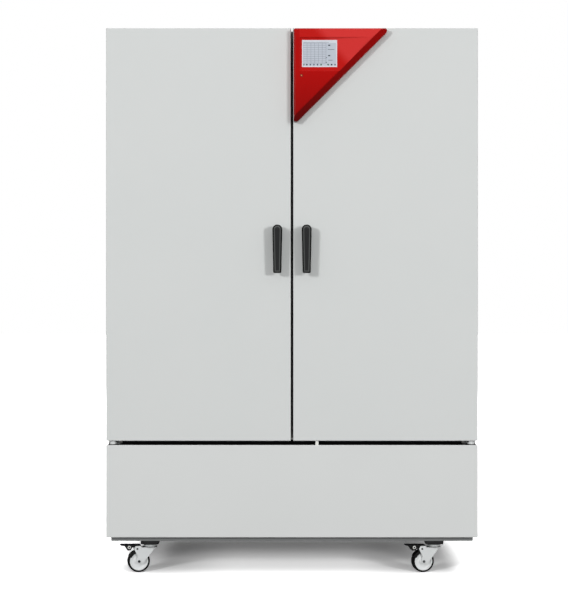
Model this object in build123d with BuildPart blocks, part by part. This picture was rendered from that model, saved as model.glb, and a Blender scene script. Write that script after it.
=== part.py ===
"""Environmental test chamber: a two-door insulated cabinet on a wheeled machine base.

Millimetres. +X is the right seen from the front, +Y points to the back, +Z is up.
The origin is on the floor, at the middle of the cabinet's width and depth.
"""

from build123d import *
from math import cos, radians, sin, tan
import os

os.makedirs("parts", exist_ok=True)

# Cabinet
cabinet_width = 1250.0
sheet = 1.5
fold_radius = 3.0
panel_gap = 0.5

# Heights
wheel_diameter = 75.0
caster_height = 100.0
caster_spacer = 10.0
frame_rail_height = 14.0
machine_bay_height = 311.0
door_clearance = 14.0
door_height = 1387.5

# Depths, front to back
lever_stand_off = 48.0
door_thickness = 62.0
seal_gap = 10.0
front_frame_depth = 30.0
plenum_depth = 90.0
rear_wall = 70.0

# Chamber, by the walls round it
side_wall = 138.5
end_wall = 68.75
chamber_depth = 576.0
liner_sheet = 1.2
side_duct = 45.0

# Doors
door_split = 6.0
hinge_inset = 22.0
hinge_pin_diameter = 10.0
hinge_plate = 6.0
hinge_arm_width = 22.0
door_opening = 105.0
running_clearance = 0.05
gasket_width = 22.0
gasket_inset = 45.0
gasket_relief = 0.3

# Inner glass doors
pane_thickness = 5.0
rebate_depth = 22.0
rebate_margin = 18.5
frame_wall = 2.0
pane_margin = 5.0
pane_split = 4.0
knuckle_forward = 4.0
knuckle_diameter = 12.0

# Lever handles
lever_offset = 49.0
lever_drop = 662.0
lever_length = 162.0
lever_width = 33.0
lever_foot_width = 27.0
lever_pin_diameter = 6.0
lever_pull = 22.0
lever_tongue_width = 13.0

# Controller
control_leg = 323.0
control_depth = 40.0
control_drop = 6.0
control_inset = 2.7
screen_width = 117.0
screen_height = 90.0

# Shelves
shelf_count = 2
shelf_sheet = 3.0

# Fans
fan_diameter = 200.0
fan_shaft_diameter = 10.0
cooler_fan_diameter = 180.0

# Access port
port_bore = 30.0
port_wall = 2.5
port_clearance = 0.3
port_ring_diameter = 62.0
port_ring_depth = 6.0
port_share_back = 0.45
port_share_up = 0.55

# Casters
caster_inset = 143.0
caster_setback = 62.0
caster_trail = 40.0
caster_yaw = 13.0
wheel_width = 25.0
axle_diameter = 8.0
fork_sheet = 2.5
king_pin_diameter = 10.0
caster_plate_side = 60.0

# Levels worked out from the heights
rail_bottom = caster_height + caster_spacer
base_bottom = rail_bottom + frame_rail_height
base_top = base_bottom + machine_bay_height
door_bottom = base_top + door_clearance
door_top = door_bottom + door_height
cabinet_top = door_top
chamber_height = door_height - 2 * end_wall
chamber_bottom = door_bottom + end_wall
chamber_top = door_top - end_wall

# Depth planes worked out from the depths
housing_depth = front_frame_depth + chamber_depth + plenum_depth + rear_wall
overall_depth = lever_stand_off + door_thickness + seal_gap + housing_depth
door_front = lever_stand_off - overall_depth / 2
door_back = door_front + door_thickness
frame_front = door_back + seal_gap
frame_back = frame_front + front_frame_depth
fan_plane = frame_back + chamber_depth
liner_back = fan_plane + plenum_depth
cabinet_back = frame_front + housing_depth

# Widths worked out from the widths
half_width = cabinet_width / 2
inside_half = half_width - sheet
chamber_width = cabinet_width - 2 * side_wall
liner_half = chamber_width / 2 + side_duct
door_width = (cabinet_width - door_split) / 2
caster_spacing = cabinet_width - 2 * caster_inset
hinge_x = half_width - hinge_inset
hinge_y = door_front + hinge_inset
hinge_bore = hinge_pin_diameter + 2 * running_clearance
opening_half = chamber_width / 2
rebate_half = opening_half + rebate_margin

SIDES = {"left": -1, "right": 1}


def save(builder, name):
    """Label a finished piece and write it as its own file."""
    builder.part.label = name
    export_step(builder.part, f"parts/{name}.step")


def block(low, high, mode=Mode.ADD):
    """A straight block between two opposite corners."""
    size = [b - a for a, b in zip(low, high)]
    centre = tuple((a + b) / 2 for a, b in zip(low, high))
    with Locations(centre):
        Box(size[0], size[1], size[2], mode=mode)


def side_block(side, near, far, low_yz, high_yz, mode=Mode.ADD):
    """A block on one side of the centre plane, from near to far in X."""
    low_x = min(side * near, side * far)
    high_x = max(side * near, side * far)
    block((low_x, low_yz[0], low_yz[1]), (high_x, high_yz[0], high_yz[1]), mode)


def level(z):
    """The horizontal plane at a height."""
    return Plane.XY.offset(z)


def upright(y):
    """The vertical plane facing the front at a depth, with X to the right and Z up."""
    return Plane.XZ.offset(-y)


# Base frame: two rings of channel section joined by angle posts, with caster spacers, welded in one
rail_width = 40.0
rail_sheet = 2.5
tray_sheet = 3.0
pad_sheet = 3.0
spacer_reach = caster_plate_side / 2
pad_reach = spacer_reach + 10
frame_half = half_width - 15.0
base_front_setback = 18.0
deck_height = 24.0
post_width = 40.0
deck_half = inside_half - panel_gap
deck_back = cabinet_back - sheet - panel_gap
frame_low_front = door_front + base_front_setback
frame_mid = (frame_low_front + deck_back) / 2
deck_mid = (frame_front + deck_back) / 2
frame_length = deck_back - frame_low_front
deck_length = deck_back - frame_front


def channel_ring(z, height, width, length, middle):
    """A rectangular ring of C channel, open towards the inside."""
    inner = (width - 2 * rail_width, length - 2 * rail_width)
    hollow = (width - 2 * rail_sheet, length - 2 * rail_sheet)
    with BuildSketch(level(z)) as ring:
        with Locations((0, middle)):
            Rectangle(width, length)
            Rectangle(*inner, mode=Mode.SUBTRACT)
    extrude(ring.sketch, amount=height)
    with BuildSketch(level(z + rail_sheet)) as groove:
        with Locations((0, middle)):
            Rectangle(*hollow)
    extrude(groove.sketch, amount=height - 2 * rail_sheet, mode=Mode.SUBTRACT)


with BuildPart() as base_frame:
    channel_ring(rail_bottom, frame_rail_height, 2 * frame_half, frame_length, frame_mid)
    channel_ring(base_top - deck_height, deck_height, 2 * deck_half, deck_length, deck_mid)
    for side in SIDES.values():
        for y, turn in ((frame_front, 1), (deck_back, -1)):
            web = (y, y + turn * rail_sheet)
            leg = (y, y + turn * post_width)
            low, high = base_bottom, base_top - deck_height
            inner_x, outer_x = frame_half - post_width, frame_half
            side_block(side, inner_x, outer_x, (min(web), low), (max(web), high))
            side_block(side, outer_x - rail_sheet, outer_x, (min(leg), low), (max(leg), high))
    low = (-frame_half, frame_low_front, base_bottom)
    block(low, (frame_half, deck_back, base_bottom + tray_sheet))
    pads = (
        (frame_low_front + rail_width, door_front + caster_setback + pad_reach),
        (cabinet_back - caster_setback - pad_reach, deck_back - rail_width),
    )
    for side in SIDES.values():
        for near_y, far_y in pads:
            low, high = (near_y, rail_bottom), (far_y, rail_bottom + pad_sheet)
            side_block(side, caster_spacing / 2 - pad_reach, frame_half - rail_width, low, high)
        for y in (door_front + caster_setback, cabinet_back - caster_setback):
            low, high = (y - spacer_reach, caster_height), (y + spacer_reach, rail_bottom)
            near_x, far_x = caster_spacing / 2 - spacer_reach, caster_spacing / 2 + spacer_reach
            side_block(side, near_x, far_x, low, high)
save(base_frame, "base_frame")


# Outer panels
panel_return = 18.0
panel_edge = 0.9
through = 4 * sheet

port_y = frame_back + port_share_back * chamber_depth
port_z = chamber_bottom + port_share_up * chamber_height
port_hole = port_bore + 2 * (port_wall + port_clearance)

for name, side in SIDES.items():
    with BuildPart() as side_panel:
        side_block(
            side, inside_half, half_width, (frame_front, base_bottom), (cabinet_back, cabinet_top)
        )
        outer_edges = side_panel.edges().filter_by(Axis.Z).group_by(Axis.X)[-1 if side > 0 else 0]
        fillet(outer_edges, panel_edge)
        rear_flange = (cabinet_back - sheet, base_bottom)
        side_block(
            side,
            half_width - panel_return,
            inside_half,
            rear_flange,
            (cabinet_back, cabinet_top),
        )
        if side < 0:
            with Locations((-inside_half, port_y, port_z)):
                Cylinder(port_ring_diameter / 2, through, rotation=(0, 90, 0), mode=Mode.SUBTRACT)
    save(side_panel, f"side_panel_{name}")

with BuildPart() as top_panel:
    roof_back = cabinet_back - sheet - panel_gap
    block((-inside_half, frame_front, cabinet_top - sheet), (inside_half, roof_back, cabinet_top))
    for side in SIDES.values():
        low = (frame_back, cabinet_top - sheet - panel_return)
        side_block(side, inside_half - sheet, inside_half, low, (roof_back, cabinet_top - sheet))
save(top_panel, "top_panel")

# Rear panel over the chamber, with the motor's vent field
rear_half = half_width - panel_return - panel_gap
grille_top = base_top + 4.0
slot_height = 6.0


def slot_field(y, columns, rows, pitch_x, pitch_z, centre, length):
    """Cut a field of level slots through a vertical sheet."""
    with BuildSketch(upright(y)) as slots:
        with Locations(centre):
            with GridLocations(pitch_x, pitch_z, columns, rows):
                Rectangle(length, slot_height)
    extrude(slots.sketch, amount=through, both=True, mode=Mode.SUBTRACT)


motor_z = (chamber_bottom + chamber_top) / 2
vent_pitch = (90.0, 18.0)
vent_length = 70.0
with BuildPart() as rear_panel:
    back_skin = cabinet_back - sheet
    block((-rear_half, back_skin, grille_top), (rear_half, cabinet_back, cabinet_top))
    slot_field(cabinet_back, 2, 7, *vent_pitch, (0, motor_z), vent_length)
save(rear_panel, "rear_panel")

grille_pitch = (150.0, 24.0)
grille_length = 120.0
grille_x = 60.0
electrics_inset = 195.0
inlet_x = electrics_inset - half_width
inlet_z = base_bottom + 70.0
inlet_width = 50.0
inlet_height = 30.0
with BuildPart() as base_rear_grille:
    low_edge = base_bottom + panel_gap
    block((-rear_half, back_skin, low_edge), (rear_half, cabinet_back, grille_top - panel_gap))
    grille_z = (base_bottom + base_top) / 2
    slot_field(cabinet_back, 5, 9, *grille_pitch, (grille_x, grille_z), grille_length)
    with BuildSketch(upright(cabinet_back)):
        with Locations((inlet_x, inlet_z)):
            Rectangle(inlet_width, inlet_height)
    extrude(amount=through, both=True, mode=Mode.SUBTRACT)
save(base_rear_grille, "base_rear_grille")

inlet_depth = 28.0
inlet_fit = 0.2
socket_width = 36.0
socket_height = 20.0
socket_floor = 8.0
contact_pitch = 9.0
contact_rise = 4.0
contact_length = 14.0
with BuildPart() as power_inlet:
    with BuildSketch(upright(cabinet_back)):
        with Locations((inlet_x, inlet_z)):
            RectangleRounded(inlet_width - 2 * inlet_fit, inlet_height - 2 * inlet_fit, 3)
    extrude(amount=inlet_depth)
    with BuildSketch(upright(cabinet_back)):
        with Locations((inlet_x, inlet_z)):
            RectangleRounded(socket_width, socket_height, 4)
    extrude(amount=inlet_depth - socket_floor, mode=Mode.SUBTRACT)
    contacts = (
        (inlet_x - contact_pitch, inlet_z),
        (inlet_x, inlet_z + contact_rise),
        (inlet_x + contact_pitch, inlet_z),
    )
    with BuildSketch(upright(cabinet_back - inlet_depth + socket_floor)):
        with Locations(*contacts):
            Rectangle(2, 5)
    extrude(amount=-contact_length)
save(power_inlet, "power_inlet")

# Base front: a folded pan, flush with the doors and open behind
base_lip = 5.0
with BuildPart() as base_front_panel:
    block((-half_width, door_front, base_bottom), (half_width, frame_front, base_top))
    front_edges = base_front_panel.faces().sort_by(Axis.Y)[0].edges()
    fillet(front_edges, fold_radius)
    inner_low = (-half_width + sheet, door_front + sheet, base_bottom + sheet)
    block(inner_low, (half_width - sheet, frame_front, base_top - sheet), Mode.SUBTRACT)
    low = (-half_width, door_front + base_lip, base_top - 2 * sheet)
    block(low, (half_width, frame_front, base_top), Mode.SUBTRACT)
    low = (-half_width, frame_low_front - panel_gap, base_bottom)
    block(low, (half_width, frame_front, base_bottom + sheet), Mode.SUBTRACT)
save(base_front_panel, "base_front_panel")

# Sill: the dark moulding in the gap below the doors, with notches for the hinge plates
sill_sheet = 3.0
sill_notch_gap = 1.0
hinge_leg = 5.0
hinge_leg_width = 36.0
sill_top = base_top - sheet
with BuildPart() as door_sill:
    low = (-half_width + sheet, door_front + base_lip, sill_top - sill_sheet)
    block(low, (half_width - sheet, frame_front, sill_top))
    for side in SIDES.values():
        centre = side * hinge_x
        reach = hinge_leg_width / 2 + sill_notch_gap
        low = (centre - reach, frame_front - hinge_leg - sill_notch_gap, sill_top - sill_sheet)
        block(low, (centre + reach, frame_front, sill_top), Mode.SUBTRACT)
save(door_sill, "door_sill")


# Chamber
liner_inner_back = liner_back - liner_sheet
motor_diameter = 110.0
motor_length = 54.0
motor_pocket = motor_diameter + 10.0
shaft_hole = fan_shaft_diameter + 6.0
liner_through = 10 * liner_sheet

with BuildPart() as inner_chamber:
    low = (-liner_half - liner_sheet, frame_back, chamber_bottom - liner_sheet)
    block(low, (liner_half + liner_sheet, liner_back, chamber_top + liner_sheet))
    low = (-liner_half, frame_back, chamber_bottom)
    block(low, (liner_half, liner_inner_back, chamber_top), Mode.SUBTRACT)
    with Locations((0, liner_back, motor_z)):
        Cylinder(shaft_hole / 2, liner_through, rotation=(90, 0, 0), mode=Mode.SUBTRACT)
    with Locations((-liner_half, port_y, port_z)):
        Cylinder(port_hole / 2, liner_through, rotation=(0, 90, 0), mode=Mode.SUBTRACT)
save(inner_chamber, "inner_chamber")

insulation_back = cabinet_back - sheet
with BuildPart() as chamber_insulation:
    wall_x = liner_half + liner_sheet
    low_z, high_z = base_top, cabinet_top - sheet
    for side in SIDES.values():
        side_block(
            side, wall_x, inside_half - sheet, (frame_back, low_z), (liner_back, high_z)
        )
    block((-wall_x, frame_back, low_z), (wall_x, liner_back, chamber_bottom - liner_sheet))
    block((-wall_x, frame_back, chamber_top + liner_sheet), (wall_x, liner_back, high_z))
    block((-inside_half + sheet, liner_back, low_z), (inside_half - sheet, insulation_back, high_z))
    with Locations((0, liner_back + rear_wall / 2, motor_z)):
        Cylinder(motor_pocket / 2, rear_wall + through, rotation=(90, 0, 0), mode=Mode.SUBTRACT)
    with Locations((-(opening_half + half_width) / 2, port_y, port_z)):
        Cylinder(port_bore / 2 + port_wall, side_wall, rotation=(0, 90, 0), mode=Mode.SUBTRACT)
    with BuildSketch(upright(frame_back)):
        with Locations((0, (low_z + high_z) / 2)):
            Rectangle(2 * (inside_half - frame_wall), high_z - low_z - 2 * frame_wall)
        with Locations((0, (chamber_bottom + chamber_top) / 2)):
            land = rebate_margin + frame_wall
            Rectangle(chamber_width + 2 * land, chamber_height + 2 * land, mode=Mode.SUBTRACT)
    extrude(amount=front_frame_depth - frame_wall)
    with Locations((-inside_half + sheet, port_y, port_z)):
        seat_length = 2 * (port_ring_depth + sheet)
        Cylinder(port_ring_diameter / 2, seat_length, rotation=(0, 90, 0), mode=Mode.SUBTRACT)
save(chamber_insulation, "chamber_insulation")

# Front frame with the rebate that the glass doors close into
with BuildPart() as front_frame:
    frame_mid_z = (chamber_bottom + chamber_top) / 2
    low_z, high_z = base_top, cabinet_top - sheet
    with BuildSketch(upright(frame_front)):
        with Locations((0, (low_z + high_z) / 2)):
            Rectangle(2 * inside_half, high_z - low_z)
        with Locations((0, frame_mid_z)):
            Rectangle(chamber_width, chamber_height, mode=Mode.SUBTRACT)
    extrude(amount=-front_frame_depth)
    with BuildSketch(upright(frame_front)):
        with Locations((0, frame_mid_z)):
            Rectangle(2 * rebate_half, chamber_height + 2 * rebate_margin)
    extrude(amount=-rebate_depth, mode=Mode.SUBTRACT)
    with BuildSketch(upright(frame_back)):
        with Locations((0, (low_z + high_z) / 2)):
            Rectangle(2 * (inside_half - frame_wall), high_z - low_z - 2 * frame_wall)
        with Locations((0, frame_mid_z)):
            land = rebate_margin + frame_wall
            Rectangle(chamber_width + 2 * land, chamber_height + 2 * land, mode=Mode.SUBTRACT)
    extrude(amount=front_frame_depth - frame_wall, mode=Mode.SUBTRACT)
save(front_frame, "front_frame")

# Silicone gasket at the bottom of the rebate
inner_seal = 4.0
seal_outer_edge = 15.0
seal_inner_edge = 3.0
pane_back = frame_front + rebate_depth - inner_seal - gasket_relief
pane_front = pane_back - pane_thickness
with BuildPart() as inner_door_gasket:
    with BuildSketch(upright(frame_front + rebate_depth - inner_seal)):
        with Locations((0, frame_mid_z)):
            Rectangle(chamber_width + 2 * seal_outer_edge, chamber_height + 2 * seal_outer_edge)
            inside = (chamber_width + 2 * seal_inner_edge, chamber_height + 2 * seal_inner_edge)
            Rectangle(*inside, mode=Mode.SUBTRACT)
    extrude(amount=-inner_seal)
save(inner_door_gasket, "inner_door_gasket")

# Perforated air ducts along both sides
duct_sheet = 1.0
duct_slot_rows = 16
duct_slot_columns = 3
duct_slot = (90.0, 8.0)
with BuildPart() as air_ducts:
    for side in SIDES.values():
        low = (frame_back, chamber_bottom)
        side_block(side, opening_half, opening_half + duct_sheet, low, (fan_plane, chamber_top))
    with BuildSketch(Plane.YZ):
        with Locations((frame_back + chamber_depth / 2, frame_mid_z)):
            with GridLocations(
                chamber_depth / (duct_slot_columns + 0.5),
                chamber_height / (duct_slot_rows + 1),
                duct_slot_columns,
                duct_slot_rows,
            ):
                Rectangle(*duct_slot)
    extrude(amount=liner_half, both=True, mode=Mode.SUBTRACT)
    with Locations((-opening_half, port_y, port_z)):
        Cylinder(port_hole / 2, liner_through, rotation=(0, 90, 0), mode=Mode.SUBTRACT)
save(air_ducts, "air_ducts")

# Fan panel: the perforated wall between the chamber and the air plenum behind it
fan_inlet_radius = fan_diameter * 0.41
fan_panel_sheet = 1.5
guard_ring = 8.0
guard_gap = 16.0
guard_centre = 14.0
guard_arm = 10.0
air_slot = (84.0, 8.0)
air_slot_pitch = (110.0, 20.0)
air_slot_margin = 70.0
with BuildPart() as fan_panel:
    low = (-opening_half - duct_sheet, fan_plane, chamber_bottom)
    high = (opening_half + duct_sheet, fan_plane + fan_panel_sheet, chamber_top)
    block(low, high)
    with BuildSketch(upright(fan_plane)):
        with Locations((0, motor_z)):
            for ring in range(3):
                outer_radius = fan_inlet_radius - ring * (guard_gap + guard_ring)
                Circle(outer_radius)
                inner_radius = outer_radius - guard_gap if ring < 2 else guard_centre
                Circle(inner_radius, mode=Mode.SUBTRACT)
            Rectangle(2 * fan_inlet_radius + guard_arm, guard_arm, mode=Mode.SUBTRACT)
            Rectangle(guard_arm, 2 * fan_inlet_radius + guard_arm, mode=Mode.SUBTRACT)
    extrude(amount=-fan_panel_sheet, mode=Mode.SUBTRACT)
    with BuildSketch(upright(fan_plane)):
        for z in (chamber_bottom + air_slot_margin, chamber_top - air_slot_margin):
            with Locations((0, z)):
                with GridLocations(*air_slot_pitch, 8, 3):
                    Rectangle(*air_slot)
    extrude(amount=-fan_panel_sheet, mode=Mode.SUBTRACT)
save(fan_panel, "fan_panel")

# Circulation fan: the motor behind the rear wall and a backward-curved wheel in the plenum
impeller_depth = 46.0
impeller_front = fan_plane + fan_panel_sheet + 8.0
impeller_back = impeller_front + impeller_depth
impeller_plate = 3.0
impeller_eye = fan_diameter / 2 - 22.0
impeller_ring = 2.0
impeller_hub = (22.0, impeller_depth - 6.0)
motor_front = liner_back + 2.0
motor_edge = 8.0
motor_lug = (8.0, 16.0, 4.0)
motor_bore_depth = motor_length * 0.6
shaft_reach = motor_length * 0.5
with BuildPart() as fan_motor:
    with BuildSketch(upright(motor_front)):
        with Locations((0, motor_z)):
            Circle(motor_diameter / 2)
    extrude(amount=-motor_length)
    fillet(fan_motor.edges().filter_by(GeomType.CIRCLE).sort_by(Axis.Y)[-1], motor_edge)
    with BuildSketch(upright(motor_front)):
        with Locations((0, motor_z)):
            Rectangle(motor_diameter + motor_lug[0], motor_lug[1])
            Rectangle(motor_lug[1], motor_diameter + motor_lug[0])
    extrude(amount=-motor_lug[2])
    with Locations((0, motor_front, motor_z)):
        Cylinder(
            fan_shaft_diameter / 2 + running_clearance,
            2 * motor_bore_depth,
            rotation=(90, 0, 0),
            mode=Mode.SUBTRACT,
        )
save(fan_motor, "fan_motor")

blade_count = 9
with BuildSketch() as fan_blade:
    with BuildLine():
        root = (fan_diameter * 0.24, 0)
        tip = (fan_diameter * 0.47, fan_diameter * 0.13)
        RadiusArc(root, tip, -fan_diameter * 0.42)
        RadiusArc(tip, root, fan_diameter * 0.39)
    make_face()

with BuildPart() as circulation_fan:
    hub_plane = upright(impeller_back)
    with BuildSketch(hub_plane):
        with Locations((0, motor_z)):
            Circle(fan_diameter / 2)
    extrude(amount=impeller_plate)
    with BuildSketch(hub_plane):
        with Locations((0, motor_z)):
            Circle(impeller_hub[0])
    extrude(amount=impeller_hub[1])
    with BuildSketch(hub_plane):
        with Locations((0, motor_z)):
            with PolarLocations(0, blade_count):
                add(fan_blade.sketch)
    extrude(amount=impeller_depth)
    with BuildSketch(upright(impeller_front)):
        with Locations((0, motor_z)):
            Circle(fan_diameter / 2)
            Circle(impeller_eye, mode=Mode.SUBTRACT)
    extrude(amount=-impeller_ring)
    with BuildSketch(hub_plane):
        with Locations((0, motor_z)):
            Circle(fan_shaft_diameter / 2)
    extrude(amount=-(motor_front + shaft_reach - impeller_back))
save(circulation_fan, "circulation_fan")

# Cooling coil and heater in the plenum, below and round the fan
coil_half = opening_half - 156.5
coil_bottom = chamber_bottom + 150.0
coil_height = 260.0
coil_front = fan_plane + fan_panel_sheet + 14.0
coil_depth = 50.0
fin_pitch = 44.0
fin_block = 8.0
coil_foot = 16.0
coil_foot_inset = (10.0, 40.0)
tube_bend = (16.0, 10.0)
tube_rows = 4
tube_pitch = 52.0
with BuildPart() as evaporator:
    low = (-coil_half, coil_front, coil_bottom)
    block(low, (coil_half, coil_front + coil_depth, coil_bottom + coil_height))
    fins = int(2 * coil_half // fin_pitch)
    for face_y in (coil_front, coil_front + coil_depth):
        with Locations((0, face_y, coil_bottom + coil_height / 2)):
            with GridLocations(fin_pitch, 1, fins, 1):
                Box(fin_pitch - fin_block, coil_depth * 0.7, 1.01 * coil_height, mode=Mode.SUBTRACT)
    foot_x = coil_half - coil_foot_inset[0]
    foot_rise = coil_height / 2 - coil_foot_inset[1]
    foot_front = coil_front + coil_depth - sheet
    with Locations((0, (foot_front + liner_inner_back) / 2, coil_bottom + coil_height / 2)):
        with GridLocations(2 * foot_x, 1, 2, 1):
            for rise in (-foot_rise, foot_rise):
                with Locations((0, 0, rise)):
                    Box(coil_foot, liner_inner_back - foot_front, coil_foot)
    bend_y = coil_front + coil_depth / 2
    for row in range(tube_rows):
        z = coil_bottom + coil_height / 2 + (row - (tube_rows - 1) / 2) * tube_pitch
        for side in SIDES.values():
            low = (bend_y - tube_bend[1] / 2, z - tube_bend[1] / 2)
            high = (bend_y + tube_bend[1] / 2, z + tube_bend[1] / 2)
            side_block(side, coil_half - sheet, coil_half + tube_bend[0], low, high)
save(evaporator, "evaporator")

heater_rod = 8.0
heater_reach = 150.0
heater_half = 170.0
heater_drop = 60.0
heater_bend = 60.0
heater_mount = (20.0, 14.0, 16.0)
with BuildPart() as heater_coil:
    heater_y = coil_front + 24.0
    top_z = motor_z + heater_reach
    with BuildLine(upright(heater_y)) as heater_path:
        FilletPolyline(
            (-heater_half, motor_z - heater_drop),
            (-heater_half, top_z),
            (heater_half, top_z),
            (heater_half, motor_z - heater_drop),
            radius=heater_bend,
        )
    with BuildSketch(Plane(heater_path.line @ 0, z_dir=heater_path.line % 0)):
        Circle(heater_rod / 2)
    sweep()
    mount_half = heater_mount[0] / 2
    mount_top = motor_z - heater_drop + sheet
    for side in SIDES.values():
        low = (heater_y - heater_mount[1] / 2, mount_top - heater_mount[2])
        high = (liner_inner_back, mount_top)
        side_block(side, heater_half - mount_half, heater_half + mount_half, low, high)
save(heater_coil, "heater_coil")

# Shelf supports: slotted uprights with ledges, and the shelves on them
ledge_width = 16.0
ledge_sheet = 2.0
upright_sheet = 2.0
upright_width = 24.0
shelf_pitch = chamber_height / (shelf_count + 1)
shelf_levels = [chamber_bottom + shelf_pitch * (i + 1) for i in range(shelf_count)]
ledge_front = frame_back + 30.0
ledge_back = fan_plane - 20.0
ledge_cheek = (20.0, 8.0)
upright_inset = 40.0
with BuildPart() as shelf_rails:
    for side in SIDES.values():
        for y in (ledge_front + upright_inset, ledge_back - upright_inset - upright_width):
            side_block(
                side,
                opening_half - upright_sheet,
                opening_half,
                (y, chamber_bottom),
                (y + upright_width, chamber_top),
            )
        for z in shelf_levels:
            side_block(
                side,
                opening_half - upright_sheet - ledge_sheet,
                opening_half - upright_sheet,
                (ledge_front, z - ledge_cheek[0]),
                (ledge_back, z + ledge_cheek[1]),
            )
            side_block(
                side,
                opening_half - upright_sheet - ledge_width,
                opening_half - upright_sheet - ledge_sheet,
                (ledge_front, z - ledge_sheet),
                (ledge_back, z),
            )
save(shelf_rails, "shelf_rails")

shelf_side_gap = 1.5
shelf_half = opening_half - upright_sheet - ledge_sheet - shelf_side_gap
shelf_lip = 16.0
shelf_slot_pitch = 28.0
shelf_slot_step = shelf_half / 2.04
shelf_slot_length = shelf_half / 2.2
shelf_slot_rows = int((ledge_back - ledge_front - 40) // shelf_slot_pitch)
with BuildPart() as shelves:
    for z in shelf_levels:
        block((-shelf_half, ledge_front, z), (shelf_half, ledge_back, z + shelf_sheet))
        front_lip = (shelf_half - ledge_width, ledge_front + shelf_sheet, z)
        block((-front_lip[0], ledge_front, z - shelf_lip), front_lip)
        with BuildSketch(level(z)):
            with Locations((0, (ledge_front + ledge_back) / 2)):
                with GridLocations(shelf_slot_step, shelf_slot_pitch, 4, shelf_slot_rows):
                    Rectangle(shelf_slot_length, shelf_slot_pitch / 2)
        extrude(amount=shelf_sheet, mode=Mode.SUBTRACT)
save(shelves, "shelves")

# Access port: a lined bore through the left wall, closed by a soft plug
port_inner_x = -opening_half
port_outer_x = -half_width
port_seat = (8.0, 3.5)
with BuildPart() as access_port:
    with BuildSketch(Plane.YZ.offset(port_outer_x)):
        with Locations((port_y, port_z)):
            Circle(port_bore / 2 + port_wall)
    extrude(amount=port_inner_x - port_outer_x)
    with BuildSketch(Plane.YZ.offset(port_outer_x)):
        with Locations((port_y, port_z)):
            Circle(port_ring_diameter / 2)
    extrude(amount=port_ring_depth)
    with BuildSketch(Plane.YZ.offset(port_outer_x)):
        with Locations((port_y, port_z)):
            Circle(port_bore / 2)
    extrude(amount=port_inner_x - port_outer_x, mode=Mode.SUBTRACT)
    with BuildSketch(Plane.YZ.offset(port_outer_x)):
        with Locations((port_y, port_z)):
            Circle(port_bore / 2 + port_seat[0])
    extrude(amount=port_seat[1], mode=Mode.SUBTRACT)
save(access_port, "access_port")

plug_length = 60.0
plug_taper = 1.5
plug_clearance = 0.3
plug_rim = 6.0
plug_grip = (9.0, 6.0)
plug_shoulder = port_outer_x + port_seat[1]
with BuildPart() as port_plug:
    with BuildSketch(Plane.YZ.offset(plug_shoulder)):
        with Locations((port_y, port_z)):
            Circle(port_bore / 2 - plug_clearance)
    extrude(amount=plug_length, taper=plug_taper)
    with BuildSketch(Plane.YZ.offset(port_outer_x)):
        with Locations((port_y, port_z)):
            Circle(port_bore / 2 + plug_rim)
    extrude(amount=port_seat[1])
    with BuildSketch(Plane.YZ.offset(port_outer_x)):
        with Locations((port_y, port_z)):
            Circle(plug_grip[0])
    extrude(amount=plug_grip[1], mode=Mode.SUBTRACT)
save(port_plug, "port_plug")


# Machine bay: compressor, condenser with its fan, and the control box
compressor_x = -280.0
compressor_y = deck_mid + 60.0
compressor_diameter = 170.0
compressor_height = 190.0
shell_share = 0.62
dome_share = (0.78, 0.72)
crown_share = 0.25
pan_inset = 20.0
pan_rise = 22.0
tray_top = base_bottom + tray_sheet
foot_height = 14.0
foot_radius = 12.0
mount_plate = (50.0, 20.0, 4.0)
foot_pitch = (20.0, 60.0)
with BuildPart() as compressor:
    radius = compressor_diameter / 2
    foot_top = tray_top + foot_height
    shoulder = foot_top + compressor_height * shell_share
    crown = foot_top + compressor_height
    compressor_axis = Axis((compressor_x, compressor_y, 0), (0, 0, 1))
    with BuildSketch(Plane(compressor_axis.position, x_dir=(1, 0, 0), z_dir=(0, -1, 0))):
        with BuildLine():
            crown_flat = radius * crown_share
            pan = radius - pan_inset
            Polyline((crown_flat, crown), (0, crown), (0, foot_top), (pan, foot_top))
            Polyline((pan, foot_top), (radius, foot_top + pan_rise), (radius, shoulder))
            dome_z = shoulder + (crown - shoulder) * dome_share[1]
            ThreePointArc((radius, shoulder), (radius * dome_share[0], dome_z), (crown_flat, crown))
        make_face()
    revolve(axis=compressor_axis)
    with BuildSketch(level(foot_top)):
        with Locations((compressor_x, compressor_y)):
            plate_size = (compressor_diameter + mount_plate[0], compressor_diameter - mount_plate[1])
            RectangleRounded(*plate_size, mount_plate[1])
    extrude(amount=mount_plate[2])
    with BuildSketch(level(tray_top)):
        with Locations((compressor_x, compressor_y)):
            with GridLocations(2 * radius + foot_pitch[0], 2 * radius - foot_pitch[1], 2, 2):
                Circle(foot_radius)
    extrude(amount=foot_height)
save(compressor, "compressor")

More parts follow.
